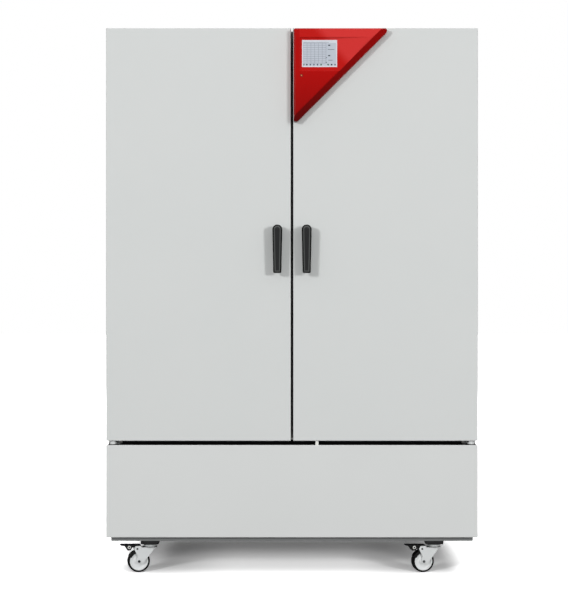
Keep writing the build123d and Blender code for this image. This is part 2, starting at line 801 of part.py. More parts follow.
condenser_x = 60.0
condenser_width = 320.0
condenser_height = 230.0
condenser_depth = 60.0
condenser_front = deck_mid - 20.0
shroud_depth = 30.0
cooler_fin_count = 12
cooler_fin = 5.0
cooler_rail = 12.0
fan_tip_gap = 6.0
spider_hub = 30.0
spider_arm = 8.0
spider_sheet = 4.0
cooler_z = tray_top + condenser_height / 2
cooler_back = condenser_front + condenser_depth
cooler_low = condenser_x - condenser_width / 2
cooler_high = condenser_x + condenser_width / 2
cooler_axis = (condenser_x, cooler_z)
spider_back = cooler_back + shroud_depth
with BuildPart() as condenser:
    low = (cooler_low, condenser_front, tray_top)
    block(low, (cooler_high, cooler_back, tray_top + condenser_height))
    cooler_pitch = condenser_width / cooler_fin_count
    air_height = condenser_height - 2 * cooler_rail
    with Locations((condenser_x, condenser_front, cooler_z)):
        with GridLocations(cooler_pitch, 1, cooler_fin_count, 1):
            Box(cooler_pitch - cooler_fin, condenser_depth, air_height, mode=Mode.SUBTRACT)
    shroud_high = (cooler_high, spider_back, tray_top + condenser_height)
    block((cooler_low, cooler_back, tray_top), shroud_high)
    with BuildSketch(upright(cooler_back)):
        with Locations(cooler_axis):
            Circle(cooler_fan_diameter / 2 + fan_tip_gap)
    extrude(amount=-shroud_depth, mode=Mode.SUBTRACT)
    spider_length = cooler_fan_diameter + 2 * (fan_tip_gap + cooler_rail)
    with BuildSketch(upright(spider_back - spider_sheet)):
        with Locations(cooler_axis):
            Circle(spider_hub)
            Rectangle(spider_length, spider_arm)
            Rectangle(spider_arm, spider_length)
    extrude(amount=-spider_sheet)
    with BuildSketch(upright(spider_back)):
        with Locations(cooler_axis):
            Circle(fan_shaft_diameter / 2 + running_clearance)
    extrude(amount=spider_sheet, mode=Mode.SUBTRACT)
save(condenser, "condenser")

cooler_blades = 5
blade_pitch = 28.0
blade_sheet = 2.0
blade_chord = 34.0
blade_tip_gap = 1.0
cooler_hub = (24.0, 18.0)
hub_gap = 2.0
with BuildPart() as condenser_fan:
    hub_back = spider_back - spider_sheet - hub_gap
    with BuildSketch(upright(hub_back)):
        with Locations(cooler_axis):
            Circle(cooler_hub[0])
    extrude(amount=cooler_hub[1])
    blade_length = cooler_fan_diameter / 2 - blade_tip_gap - cooler_hub[0] + blade_sheet
    blade_middle = cooler_hub[0] - blade_sheet + blade_length / 2
    blade_place = Location((blade_middle, 0, 0), (blade_pitch, 0, 0))
    hub_centre = Location((condenser_x, hub_back - cooler_hub[1] / 2, cooler_z))
    for i in range(cooler_blades):
        turn = Rotation(0, i * 360 / cooler_blades, 0)
        with Locations(hub_centre * turn * blade_place):
            Box(blade_length, blade_sheet, blade_chord)
    with BuildSketch(upright(hub_back)):
        with Locations(cooler_axis):
            Circle(fan_shaft_diameter / 2)
    extrude(amount=hub_back - spider_back - spider_sheet - hub_gap)
save(condenser_fan, "condenser_fan")

control_x = half_width - electrics_inset
control_size = (180.0, 300.0, 190.0)
control_corner = 4.0
board_half = (60.0, 110.0)
contactor = (50.0, 70.0, 55.0)
supply = (80.0, 40.0, 40.0)
with BuildPart() as control_box:
    half_x, half_y = control_size[0] / 2, control_size[1] / 2
    low = (control_x - half_x, deck_mid - half_y, tray_top)
    high = (control_x + half_x, deck_mid + half_y, tray_top + control_size[2])
    block(low, high)
    fillet(control_box.edges().filter_by(Axis.Z), control_corner)
    inner_low = [value + sheet for value in low]
    block(inner_low, (high[0] - sheet, high[1] - sheet, high[2]), Mode.SUBTRACT)
    with BuildSketch(level(high[2])):
        with Locations((control_x, deck_mid)):
            RectangleRounded(control_size[0], control_size[1], control_corner)
    extrude(amount=sheet)
    board_low = (control_x - board_half[0], deck_mid - board_half[1], tray_top + sheet)
    board_high = (control_x + board_half[0], deck_mid + board_half[1], tray_top + 2 * sheet)
    block(board_low, board_high)
    for size, shift in ((contactor, -board_half[1] / 2), (supply, board_half[1] / 2)):
        with Locations((control_x, deck_mid + shift, board_high[2] + size[2] / 2)):
            Box(*size)
save(control_box, "control_box")


# Hinge brackets: an L plate with its pin at each corner
collar_diameter = 18.0
pin_engagement = 25.0
collar_lift = 0.1
upper_plate_top = cabinet_top - 0.5
upper_leg_sheet = 3.0
upper_leg_height = 40.0
lower_leg_height = 40.0
plate_gap = 6.0
arm_reach = hinge_arm_width / 2

with BuildPart() as hinge_brackets:
    lower_low = door_bottom - collar_lift - plate_gap - hinge_plate
    lower_top = lower_low + hinge_plate
    upper_low = upper_plate_top - hinge_plate
    lower_leg = (hinge_leg_width / 2, hinge_leg, lower_low - lower_leg_height, lower_top)
    upper_leg = (arm_reach, upper_leg_sheet, upper_plate_top - upper_leg_height, upper_plate_top)
    for side in SIDES.values():
        centre = side * hinge_x
        for plate_low, leg in ((lower_low, lower_leg), (upper_low, upper_leg)):
            leg_half, leg_sheet, leg_low, leg_high = leg
            with BuildSketch(level(plate_low)):
                with Locations((centre, hinge_y)):
                    Circle(arm_reach)
                with Locations((centre, (hinge_y + frame_front) / 2)):
                    Rectangle(hinge_arm_width, frame_front - hinge_y)
            extrude(amount=hinge_plate)
            low = (centre - leg_half, frame_front - leg_sheet, leg_low)
            block(low, (centre + leg_half, frame_front, leg_high))
        with BuildSketch(level(lower_top)):
            with Locations((centre, hinge_y)):
                Circle(collar_diameter / 2)
        extrude(amount=door_bottom - collar_lift - lower_top)
        with BuildSketch(level(lower_top)):
            with Locations((centre, hinge_y)):
                Circle(hinge_pin_diameter / 2)
        extrude(amount=door_bottom - lower_top + pin_engagement)
        with BuildSketch(level(upper_low - pin_engagement)):
            with Locations((centre, hinge_y)):
                Circle(hinge_pin_diameter / 2)
        extrude(amount=pin_engagement)
save(hinge_brackets, "hinge_brackets")

# Glide block: carries the right door's free corner as it shuts
glide_x = 84.0
glide_width = 10.0
glide_front = 3.0
glide_depth = 34.0
glide_gap = 1.0
glide_corner = 3.0
with BuildPart() as door_glide:
    glide_back = door_front + base_lip + glide_depth
    low = (glide_x - glide_width / 2, door_front + glide_front, sill_top)
    block(low, (glide_x + glide_width / 2, glide_back, door_bottom - glide_gap))
    low = (glide_x - glide_width, door_front, sill_top)
    high = (glide_x + glide_width, door_front + base_lip, base_top)
    block(low, high, Mode.SUBTRACT)
    fillet(door_glide.edges().filter_by(Axis.Y).sort_by(Axis.Z)[-2:], glide_corner)
save(door_glide, "door_glide")


# Outer doors
notch_depth = hinge_plate + 2.0
notch_reach = arm_reach + 1.5
past_square = radians(door_opening - 90)
tail_reach = (hinge_inset * sin(past_square) + arm_reach) / cos(past_square) + 1.0
liner_step = 4.0
liner_border = 84.0
split_lip = 2.2
split_lip_depth = 14.0
split_lip_setback = 4.0
gasket_end = 10.0
gasket_corner = 8.0
panel_corner = 24.0
bore_spare = 1.0
cut_spare = 2.0


def hinge_cuts(side):
    """The notch for the upper hinge arm and the two pin bores, cut from a door piece."""
    centre = side * hinge_x
    with BuildSketch(level(door_top - notch_depth)) as notch:
        with Locations((centre, hinge_y)):
            Circle(notch_reach)
        past_side = half_width + cut_spare
        low_x = min(side * (hinge_x - notch_reach), side * past_side)
        width = past_side - hinge_x + notch_reach
        depth = door_back + cut_spare - hinge_y
        with Locations((low_x + width / 2, hinge_y + depth / 2)):
            Rectangle(width, depth)
        tail = past_side - hinge_x
        with Locations((centre + side * tail / 2, hinge_y)):
            Rectangle(tail, 2 * tail_reach)
    extrude(notch.sketch, amount=notch_depth, mode=Mode.SUBTRACT)
    with BuildSketch(level(door_top - notch_depth)) as upper_bore:
        with Locations((centre, hinge_y)):
            Circle(hinge_bore / 2)
    extrude(upper_bore.sketch, amount=-(pin_engagement + bore_spare), mode=Mode.SUBTRACT)
    with BuildSketch(level(door_bottom)) as lower_bore:
        with Locations((centre, hinge_y)):
            Circle(hinge_bore / 2)
    extrude(lower_bore.sketch, amount=pin_engagement + bore_spare, mode=Mode.SUBTRACT)


def lever_place(side):
    """X and Z of a handle's pin."""
    return side * lever_offset, door_top - lever_drop - lever_width / 2


lever_tilt_pin = 31.0
lever_thick = 2 * (lever_stand_off - lever_tilt_pin)
lever_cheek_radius = lever_thick / 2
base_plate_sheet = 4.0
base_plate_width = 26.0
base_plate_height = 40.0
base_plate_drop = 9.0
base_plate_corner = 12.0
pin_cover = 4.0
pin_end_gap = 0.3
tongue_gap = 0.4
slot_top_gap = 0.6
lever_facet = 8.0
facet_drop = 6.0
heel = (6.0, 30.0)
foot_depths = (3.0, 9.0, 19.0)
foot_rise = 12.0
foot_radii = (11.0, 14.0)
tongue_radius = 10.0
tongue_fall = 6.0
pull = radians(lever_pull)
neck = (tongue_radius * sin(pull), tongue_radius * cos(pull))
root_top = neck[1] - (lever_tilt_pin - neck[0]) * tan(pull)
slot_drop = tongue_radius + tongue_fall * lever_cheek_radius / lever_tilt_pin + slot_top_gap
lever_corner = 5.0

for name, side in SIDES.items():
    near_x = door_split / 2
    far_x = half_width
    with BuildPart() as door_skin:
        side_block(side, near_x, far_x, (door_front, door_bottom), (door_back, door_top))
        fillet(door_skin.faces().sort_by(Axis.Y)[0].edges(), fold_radius)
        side_block(
            side,
            near_x + sheet,
            far_x - sheet,
            (door_front + sheet, door_bottom + sheet),
            (door_back, door_top - sheet),
            Mode.SUBTRACT,
        )
        hinge_cuts(side)
    save(door_skin, f"{name}_door_skin")

    with BuildPart() as door_inner:
        low = (door_front + sheet, door_bottom + sheet)
        side_block(side, near_x + sheet, far_x - sheet, low, (door_back, door_top - sheet))
        panel_x = side * (near_x + far_x) / 2
        panel_z = (door_bottom + door_top) / 2
        panel_width = door_width - 2 * liner_border
        panel_height = door_height - 2 * liner_border
        with BuildSketch(upright(door_back)):
            with Locations((panel_x, panel_z)):
                RectangleRounded(panel_width, panel_height, panel_corner)
        extrude(amount=liner_step, taper=30, mode=Mode.SUBTRACT)
        hinge_cuts(side)
    save(door_inner, f"{name}_door_inner")

    with BuildPart() as door_gasket:
        seal = seal_gap - gasket_relief
        outer_x, inner_x = far_x - gasket_inset, far_x - gasket_inset - gasket_width
        low_z = door_bottom + gasket_inset - gasket_end
        high_z = door_top - gasket_inset + gasket_end
        side_block(side, near_x + sheet, outer_x, (door_back, low_z), (door_back + seal, high_z))
        edges = door_gasket.edges().filter_by(Axis.Y)
        corner = edges.group_by(Axis.X)[-1 if side > 0 else 0]
        fillet(corner, gasket_corner)
        side_block(
            side,
            near_x,
            inner_x,
            (door_back, low_z + gasket_width),
            (door_back + seal, high_z - gasket_width),
            Mode.SUBTRACT,
        )
        lip_front = door_front + split_lip_setback
        side_block(
            side,
            near_x - split_lip,
            near_x,
            (lip_front, door_bottom + gasket_width / 2),
            (lip_front + split_lip_depth, door_top - gasket_width / 2),
        )
    save(door_gasket, f"{name}_door_gasket")

    pin_x, pin_z = lever_place(side)
    pin_y = door_front - lever_tilt_pin
    with BuildPart() as handle_base:
        with BuildSketch(upright(door_front)):
            with Locations((pin_x, pin_z - base_plate_drop)):
                RectangleRounded(base_plate_width, base_plate_height, base_plate_corner)
        extrude(amount=base_plate_sheet)
        with BuildSketch(Plane.YZ.offset(pin_x)):
            with BuildLine():
                Polyline(
                    (pin_y + neck[0], pin_z + neck[1]),
                    (door_front, pin_z + root_top),
                    (door_front, pin_z - tongue_radius - tongue_fall),
                    (pin_y, pin_z - tongue_radius),
                    close=True,
                )
            make_face()
            with Locations((pin_y, pin_z)):
                Circle(tongue_radius)
        extrude(amount=lever_tongue_width / 2, both=True)
        with BuildSketch(Plane.YZ.offset(pin_x)):
            with Locations((pin_y, pin_z)):
                Circle(lever_pin_diameter / 2)
        extrude(amount=lever_width / 2 - pin_cover, both=True)
    save(handle_base, f"{name}_handle_base")

    with BuildPart() as handle:
        back_y = pin_y + lever_cheek_radius
        front_y = pin_y - lever_cheek_radius
        crest_z = pin_z + lever_width / 2
        foot_z = crest_z - lever_length
        heel_point = (back_y - heel[0], pin_z - heel[1])
        foot_front = (front_y + foot_depths[0], foot_z + foot_rise)
        foot_tip = (front_y + foot_depths[1], foot_z)
        foot_back = (front_y + foot_depths[2], foot_z + foot_rise)
        with BuildSketch(Plane.YZ.offset(pin_x)):
            with BuildLine():
                crest = (pin_y, pin_z + lever_cheek_radius)
                RadiusArc((front_y, pin_z), crest, lever_cheek_radius)
                RadiusArc(crest, (back_y, pin_z), lever_cheek_radius)
                Line((back_y, pin_z), heel_point)
                Line(heel_point, foot_back)
                RadiusArc(foot_back, foot_tip, foot_radii[0])
                RadiusArc(foot_tip, foot_front, foot_radii[1])
                Line(foot_front, (front_y, pin_z))
            make_face()
        extrude(amount=lever_width / 2, both=True)
        with BuildSketch(upright(front_y)) as front_view:
            with BuildLine():
                Polyline(
                    (pin_x - lever_width / 2, pin_z),
                    (pin_x - lever_foot_width / 2, foot_z),
                    (pin_x + lever_foot_width / 2, foot_z),
                    (pin_x + lever_width / 2, pin_z),
                )
                RadiusArc((pin_x + lever_width / 2, pin_z), (pin_x, crest_z), -lever_width / 2)
                RadiusArc((pin_x, crest_z), (pin_x - lever_width / 2, pin_z), -lever_width / 2)
            make_face()
            fillet(front_view.vertices().group_by(Axis.Z)[0], lever_corner)
        extrude(amount=-lever_thick, mode=Mode.INTERSECT)
        lean = (lever_width - lever_foot_width) / 2 / lever_length
        rake = foot_depths[0] / lever_length
        for hand in (-1, 1):
            front_edge = (pin_x + hand * (lever_width / 2 - lever_facet), front_y, pin_z)
            slope = (hand * facet_drop, -lever_facet, -facet_drop * lean - lever_facet * rake)
            split(bisect_by=Plane(front_edge, z_dir=slope), keep=Keep.BOTTOM)
        slot_half = lever_tongue_width / 2 + tongue_gap
        pin_socket = lever_width / 2 - pin_cover + pin_end_gap
        slot_front = pin_y - tongue_radius - slot_top_gap
        block(
            (pin_x - slot_half, slot_front, pin_z - slot_drop),
            (pin_x + slot_half, back_y + cut_spare, pin_z + tongue_radius + slot_top_gap),
            Mode.SUBTRACT,
        )
        with BuildSketch(Plane.YZ.offset(pin_x)):
            with Locations((pin_y, pin_z)):
                Circle(lever_pin_diameter / 2 + running_clearance)
        extrude(amount=pin_socket, both=True, mode=Mode.SUBTRACT)
    save(handle, f"{name}_handle")


# Controller: a three-cornered housing on the right door's top inner corner
control_left = door_split / 2 + control_inset
control_top = door_top - control_drop
control_face = door_front - control_depth
control_radius = 8.0
brow_drop = 37.0 - control_drop
brow_left = 25.0
brow_right = 262.0
bay_depth = 4.5
bay_foot = 114.0
bay_foot_right = 164.0
brow_lean = 4.0
top_slope = (5.0, 10.0)
left_slope = (6.0, 9.0)
long_slope = (22.0, 15.0)
screen_margin = 4.0
screen_lift = 5.0
screen_pocket = 8.0
screen_bezel = 4.0
screen_sink = 1.0

with BuildPart() as controller_housing:
    with BuildSketch(upright(door_front)) as housing_outline:
        with BuildLine():
            Polyline(
                (control_left, control_top),
                (control_left + control_leg, control_top),
                (control_left, control_top - control_leg),
                close=True,
            )
        make_face()
        fillet(housing_outline.vertices(), control_radius)
    extrude(amount=control_depth)
    with BuildSketch(upright(control_face)):
        with BuildLine():
            Polyline(
                (brow_left, control_top - brow_drop),
                (brow_right, control_top - brow_drop),
                (bay_foot_right, control_top - brow_drop - bay_foot),
                (brow_left, control_top - brow_drop - bay_foot),
                close=True,
            )
        make_face()
    extrude(amount=-bay_depth, taper=45, mode=Mode.SUBTRACT)
    screen_left = brow_left + bay_depth + screen_margin
    ramp_start = screen_left + screen_width + screen_margin
    with BuildSketch(level(control_top - brow_drop - bay_foot)):
        with BuildLine():
            Polyline(
                (ramp_start, control_face + bay_depth),
                (brow_right, control_face),
                (brow_right, control_face + bay_depth),
                close=True,
            )
        make_face()
    extrude(amount=bay_foot)
    diagonal = Vector(1, 0, -1).normalized()
    foot = Vector(control_left, control_face, control_top - control_leg)
    top_corner = Vector(control_left, control_face, control_top)
    slopes = (
        (Vector(0, 0, 1), top_corner, brow_drop, brow_lean),
        (Vector(0, 0, 1), top_corner, *top_slope),
        (Vector(-1, 0, 0), top_corner, *left_slope),
        (diagonal, foot, *long_slope),
    )
    for outward, corner, run, drop in slopes:
        normal = (outward * drop + Vector(0, -1, 0) * run).normalized()
        cut = Plane(corner - outward * run, z_dir=normal)
        split(bisect_by=cut, keep=Keep.BOTTOM)
    screen_x = screen_left + screen_width / 2
    screen_z = control_top - brow_drop - bay_depth - screen_lift - screen_height / 2
    with BuildSketch(upright(control_face + bay_depth)):
        with Locations((screen_x, screen_z)):
            Rectangle(screen_width, screen_height)
    extrude(amount=-screen_pocket, mode=Mode.SUBTRACT)
save(controller_housing, "controller_housing")

with BuildPart() as controller_screen:
    with BuildSketch(upright(control_face + bay_depth)):
        with Locations((screen_x, screen_z)):
            Rectangle(screen_width, screen_height)
    extrude(amount=-screen_pocket)
    with BuildSketch(upright(control_face + bay_depth)):
        with Locations((screen_x, screen_z)):
            Rectangle(screen_width - 2 * screen_bezel, screen_height - 2 * screen_bezel)
    extrude(amount=-screen_sink, mode=Mode.SUBTRACT)
save(controller_screen, "controller_screen")


# Inner glass doors on knuckle hinges, with a pull knob each
pane_half = rebate_half - pane_margin
pane_low = chamber_bottom - rebate_margin + pane_margin
pane_high = chamber_top + rebate_margin - pane_margin
knuckle_y = pane_front - knuckle_forward
knuckle_length = 60.0
knuckle_radius = knuckle_diameter / 2 - 2
knuckle_inset = 110.0
strap_sheet = 1.0
strap_length = 40.0
pane_edge = 0.8
knob_x = pane_split / 2 + 34.0
knob_z = frame_mid_z
knob_stem = (8.0, 10.0)
knob_head = (13.0, 5.0)
for name, side in SIDES.items():
    with BuildPart() as glass_pane:
        low = (pane_front, pane_low)
        side_block(side, pane_split / 2, pane_half, low, (pane_back, pane_high))
        chamfer(glass_pane.edges().filter_by(Axis.Z), pane_edge)
    save(glass_pane, f"{name}_glass_pane")

    with BuildPart() as glass_fittings:
        for z in (pane_low + knuckle_inset, pane_high - knuckle_inset):
            with BuildSketch(level(z - knuckle_length / 2)):
                with Locations((side * pane_half, knuckle_y)):
                    Circle(knuckle_radius)
            extrude(amount=knuckle_length)
            low = (knuckle_y - strap_sheet, z - knuckle_length / 2)
            high = (pane_front, z + knuckle_length / 2)
            side_block(side, pane_half - strap_length, pane_half, low, high)
        with BuildSketch(upright(pane_front)):
            with Locations((side * knob_x, knob_z)):
                Circle(knob_stem[0])
        extrude(amount=knob_stem[1])
        with BuildSketch(upright(pane_front - knob_stem[1])):
            with Locations((side * knob_x, knob_z)):
                Circle(knob_head[0])
        extrude(amount=knob_head[1])
    save(glass_fittings, f"{name}_glass_fittings")


# Casters
caster_places = {
    "front_left": (-caster_spacing / 2, door_front + caster_setback),
    "front_right": (caster_spacing / 2, door_front + caster_setback),
    "rear_left": (-caster_spacing / 2, cabinet_back - caster_setback),
    "rear_right": (caster_spacing / 2, cabinet_back - caster_setback),
}
top_plate_sheet = 4.0
top_plate_corner = 6.0
race_taper = 12.0
race_radius = 22.0
race_height = 7.0
crown_top = 84.0
crown_sheet = 3.0
wheel_radius = wheel_diameter / 2
cheek_gap = wheel_width + 3.0
tyre_thickness = 6.5
hub_length = cheek_gap - 1.0
pedal_pin_back = 46.0
pedal_pin_height = crown_top - crown_sheet - 1.0
pedal_pin_diameter = 4.0
brake_lug = 6.5
swivel_gap = 0.3
crown_seat = 3.0
pin_head = 2.0
rim_step = 1.0
rim_dish = 5.0
rim_lip = 4.0
rim_boss = 13.0
hub_radius = 9.0
tyre_shoulder = 3.5
pedal_tip = 103.0
pedal_width = cheek_gap - 3.0
pedal_eye = 4.2
crown_length = caster_trail + 8.0
crown_middle = caster_trail / 2 - 4.0
king_pin_foot = crown_top - crown_sheet - pin_head

with BuildPart() as caster_plates:
    for x, y in caster_places.values():
        with BuildSketch(level(caster_height - top_plate_sheet)):
            with Locations((x, y)):
                RectangleRounded(caster_plate_side, caster_plate_side, top_plate_corner)
        extrude(amount=top_plate_sheet)
        with BuildSketch(level(caster_height - top_plate_sheet)):
            with Locations((x, y)):
                Circle(race_radius)
        extrude(amount=-race_height, taper=race_taper)
        with BuildSketch(level(caster_height - top_plate_sheet)):
            with Locations((x, y)):
                Circle(king_pin_diameter / 2)
        extrude(amount=king_pin_foot - caster_height + top_plate_sheet)
save(caster_plates, "caster_plates")

for place, (x, y) in caster_places.items():
    braked = place.startswith("front")
    turned = Plane((x, y, 0), x_dir=(-cos(radians(caster_yaw)), -sin(radians(caster_yaw)), 0))
    side_view = Plane(turned.origin, x_dir=turned.x_dir, z_dir=turned.y_dir * -1)
    with BuildPart() as fork:
        crown_level = turned.offset(crown_top - crown_sheet)
        with BuildSketch(crown_level):
            Circle(race_radius)
            with Locations((crown_middle, 0)):
                Rectangle(crown_length, cheek_gap)
        extrude(amount=crown_sheet)
        with BuildSketch(turned.offset(crown_top)):
            Circle(race_radius)
            Circle(king_pin_diameter / 2 + crown_seat, mode=Mode.SUBTRACT)
        extrude(amount=caster_height - top_plate_sheet - race_height - crown_top - swivel_gap)
        for hand in (-1, 1):
            near = cheek_gap / 2
            with BuildSketch(side_view.offset(-hand * near)):
                with BuildLine():
                    pin_top = crown_top + (brake_lug - rim_step if braked else 0)
                    Polyline(
                        (-race_radius * 0.7, crown_top),
                        (caster_trail - 12, wheel_radius - 9),
                        (caster_trail + 9, wheel_radius - 4),
                        (caster_trail + 5, wheel_radius + 18),
                        (caster_trail + 17, crown_top - 4),
                        (caster_trail + 12, pin_top),
                        (pedal_pin_back - 12, pin_top),
                        (pedal_pin_back - 16, crown_top),
                        close=True,
                    )
                make_face()
            extrude(amount=-hand * fork_sheet)
        with BuildSketch(side_view):
            with Locations((caster_trail, wheel_radius)):
                Circle(axle_diameter / 2)
        extrude(amount=cheek_gap / 2 + fork_sheet + pin_head, both=True)
        if braked:
            with BuildSketch(side_view):
                with Locations((pedal_pin_back, pedal_pin_height)):
                    Circle(pedal_pin_diameter / 2)
            extrude(amount=cheek_gap / 2 + fork_sheet + pin_head / 2, both=True)
        with BuildSketch(crown_level):
            Circle(king_pin_diameter / 2 + running_clearance)
        extrude(amount=crown_sheet, mode=Mode.SUBTRACT)
    save(fork, f"{place}_fork")

    with BuildPart() as rim:
        with BuildSketch(side_view):
            with Locations((caster_trail, wheel_radius)):
                Circle(wheel_radius - tyre_thickness)
        extrude(amount=wheel_width / 2 - rim_step, both=True)
        dish = wheel_width / 2 - rim_dish
        for hand in (-1, 1):
            with BuildSketch(side_view.offset(hand * dish)):
                with Locations((caster_trail, wheel_radius)):
                    Circle(wheel_radius - tyre_thickness - rim_lip)
                    Circle(rim_boss, mode=Mode.SUBTRACT)
            extrude(amount=hand * rim_dish, mode=Mode.SUBTRACT)
        with BuildSketch(side_view):
            with Locations((caster_trail, wheel_radius)):
                Circle(hub_radius)
        extrude(amount=hub_length / 2, both=True)
        with BuildSketch(side_view):
            with Locations((caster_trail, wheel_radius)):
                Circle(axle_diameter / 2 + running_clearance)
        extrude(amount=hub_length, both=True, mode=Mode.SUBTRACT)
    save(rim, f"{place}_rim")

    with BuildPart() as tyre:
        with BuildSketch(side_view):
            with Locations((caster_trail, wheel_radius)):
                Circle(wheel_radius)
        extrude(amount=wheel_width / 2, both=True)
        fillet(tyre.edges().filter_by(GeomType.CIRCLE), tyre_shoulder)
        with BuildSketch(side_view):
            with Locations((caster_trail, wheel_radius)):
                Circle(wheel_radius - tyre_thickness)
        extrude(amount=wheel_width, both=True, mode=Mode.SUBTRACT)
    save(tyre, f"{place}_tyre")

    if braked:
        with BuildPart() as pedal:
            with BuildSketch(side_view):
                with BuildLine():
                    Polyline(
                        (pedal_pin_back - 14, crown_top + 2),
                        (pedal_pin_back - 12, crown_top + 9),
                        (pedal_tip - 3, crown_top + 12),
                        (pedal_tip, crown_top + 9),
                        (pedal_tip - 14, crown_top + 6),
                        (pedal_pin_back + 33, crown_top - 9),
                        (pedal_pin_back + 22, crown_top - 9),
                        (pedal_pin_back + 16, crown_top + 1),
                        close=True,
                    )
                make_face()
            extrude(amount=pedal_width / 2, both=True)
            with BuildSketch(side_view):
                with Locations((pedal_pin_back, pedal_pin_height)):
                    Circle(pedal_eye)
                with Locations((pedal_pin_back, pedal_pin_height + pedal_eye)):
                    Rectangle(2 * pedal_eye, 2 * pedal_eye)
            extrude(amount=pedal_width / 2, both=True)
            with BuildSketch(side_view):
                with Locations((pedal_pin_back, pedal_pin_height)):
                    Circle(pedal_pin_diameter / 2 + running_clearance)
            extrude(amount=cheek_gap, both=True, mode=Mode.SUBTRACT)
        save(pedal, f"{place}_brake_pedal")
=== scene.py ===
"""The looks of the environmental test chamber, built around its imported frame. Metres, +Z up."""

import math

import bmesh
import bpy
from mathutils import Matrix, Vector


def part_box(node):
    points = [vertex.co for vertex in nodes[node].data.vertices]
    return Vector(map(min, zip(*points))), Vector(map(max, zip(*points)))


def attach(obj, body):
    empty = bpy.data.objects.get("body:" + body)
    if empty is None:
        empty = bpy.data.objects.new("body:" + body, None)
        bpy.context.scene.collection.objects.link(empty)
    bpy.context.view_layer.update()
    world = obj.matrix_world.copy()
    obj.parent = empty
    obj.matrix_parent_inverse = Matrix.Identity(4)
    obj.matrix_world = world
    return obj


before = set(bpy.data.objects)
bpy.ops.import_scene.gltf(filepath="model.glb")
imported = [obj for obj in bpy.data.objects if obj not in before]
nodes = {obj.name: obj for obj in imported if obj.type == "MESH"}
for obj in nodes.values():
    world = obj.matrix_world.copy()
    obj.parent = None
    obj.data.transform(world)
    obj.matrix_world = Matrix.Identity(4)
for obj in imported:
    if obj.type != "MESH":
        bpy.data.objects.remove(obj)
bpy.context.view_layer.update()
MM = 0.001

# The camera stands level, straight in front of the cabinet
PHOTO_WIDTH, PHOTO_HEIGHT = 568, 600
MM_PER_PIXEL = 3.36
CAMERA_DISTANCE = 5.0
CENTRE_COLUMN, HORIZON_ROW = 292.0, 295.0
SENSOR = 36.0
TOP_ROW = 28.0

# The controller's red and the light and shade painted into it, in millimetres: the bay from the
# housing's top left corner, the legs of the housing and of its long facet, which carries painted
# shade, and the line on the face where the painted highlight begins, as the distance aside plus a
# share of the height
BAY_INSET, BAY_DROP = 19.3, 145.0
CONTROLLER_LEG, LONG_FACET, FACET_BLUR = 323.0, 27.0, 0.5
HIGHLIGHT_SHARE, HIGHLIGHT_FROM, HIGHLIGHT_FULL = 0.9, 1706.0, 1756.0

# Painted shade on the doors' meeting edges, black for the dark split, in millimetres from the
# split and behind the front
SPLIT_SHADE_WIDTH, SPLIT_SHADE_DEPTH = 4.4, 16.0

# A lever's front, in millimetres: its foot's width, then in from its outline the end of the
# painted shade on the sides and the end of the painted highlight line
LEVER_FOOT = 27.0
SIDE_SHADE_FULL, SIDE_SHADE_END = 4.2, 5.2
HIGHLIGHT_LINE_FULL, HIGHLIGHT_LINE_END = 7.2, 9.0

# The sill's black upstand, painted shade for the gap under the doors, in millimetres: half its
# length, its rise, and its faces from the rear edge
UPSTAND_HALF, UPSTAND_RISE = 578.0, 13.0
UPSTAND_FRONT, UPSTAND_REAR, UPSTAND_BEVEL = 2.4, 0.3, 0.6

# Casters, in millimetres: from the floor, from the swivel axis along the trail, and across it
SWIVEL_ASIDE, SWIVEL_INSET = 482.0, 62.0
CASTER_YAW, CASTER_TRAIL = math.radians(13.0), 40.0
AXLE_HEIGHT, CHEEK_FACE, PEDAL_FACE = 37.5, 16.5, 12.5
PEDAL_PIN, PEDAL_SCREW = (46.0, 80.0), (73.0, 85.5)
BLACK_PLATE_FROM, RAIL_BOTTOM = 95.9, 109.9

# Black sheets of painted shade, for the cheeks' shadow on the wheels: a sector round the axle in
# millimetres and degrees, just inside each cheek
CHEEK_SHADE_FACE, CHEEK_SHADE_SHEET = 12.9, 0.8
CHEEK_SHADE_INNER, CHEEK_SHADE_OUTER = 28.5, 38.3
CHEEK_SHADE_FROM, CHEEK_SHADE_TO, CHEEK_SHADE_STEPS = 26.0, 88.0, 14

# Turned parts, as (radius, along) in millimetres: along is the height above the floor for the
# race bead and the black ring in the swivel gap, which stands for that gap's shade, and the
# distance out from the part's face for the others
RACE_BEAD = [(20.4, 89.4), (22.2, 89.6), (23.2, 90.6), (23.2, 92.0), (22.3, 93.0), (20.9, 93.2)]
SWIVEL_GAP_RING = [(21.0, 84.4), (23.2, 84.4), (23.8, 85.2), (23.4, 86.6), (22.4, 87.0), (21.0, 87.0)]
ACORN_NUT = [(0.0, 5.2), (1.6, 4.9), (2.7, 4.0), (3.3, 2.8), (3.4, 2.3)]
NUT_HEXAGON = [(3.0, 2.3), (4.4, 2.3), (4.8, 1.8), (4.8, 0.0)]
PIN_RIVET = [(0.0, 1.9), (1.8, 1.7), (2.9, 1.1), (3.4, 0.0)]
PEDAL_WASHER = [(3.0, 0.0), (3.0, 1.5), (4.9, 1.5), (5.6, 0.9), (5.6, 0.0)]
PEDAL_BUTTON = [(0.0, 2.6), (1.4, 2.4), (2.5, 1.7), (2.9, 0.8), (2.9, 0.0)]
LAMP_RING = [(2.8, -1.0), (2.8, 0.5), (3.2, 0.8), (3.9, 0.8), (4.3, 0.4), (4.3, -1.0)]
LAMP_DOME = [(0.0, 0.7), (1.2, 0.6), (2.2, 0.3), (2.8, -0.2), (2.8, -1.0)]

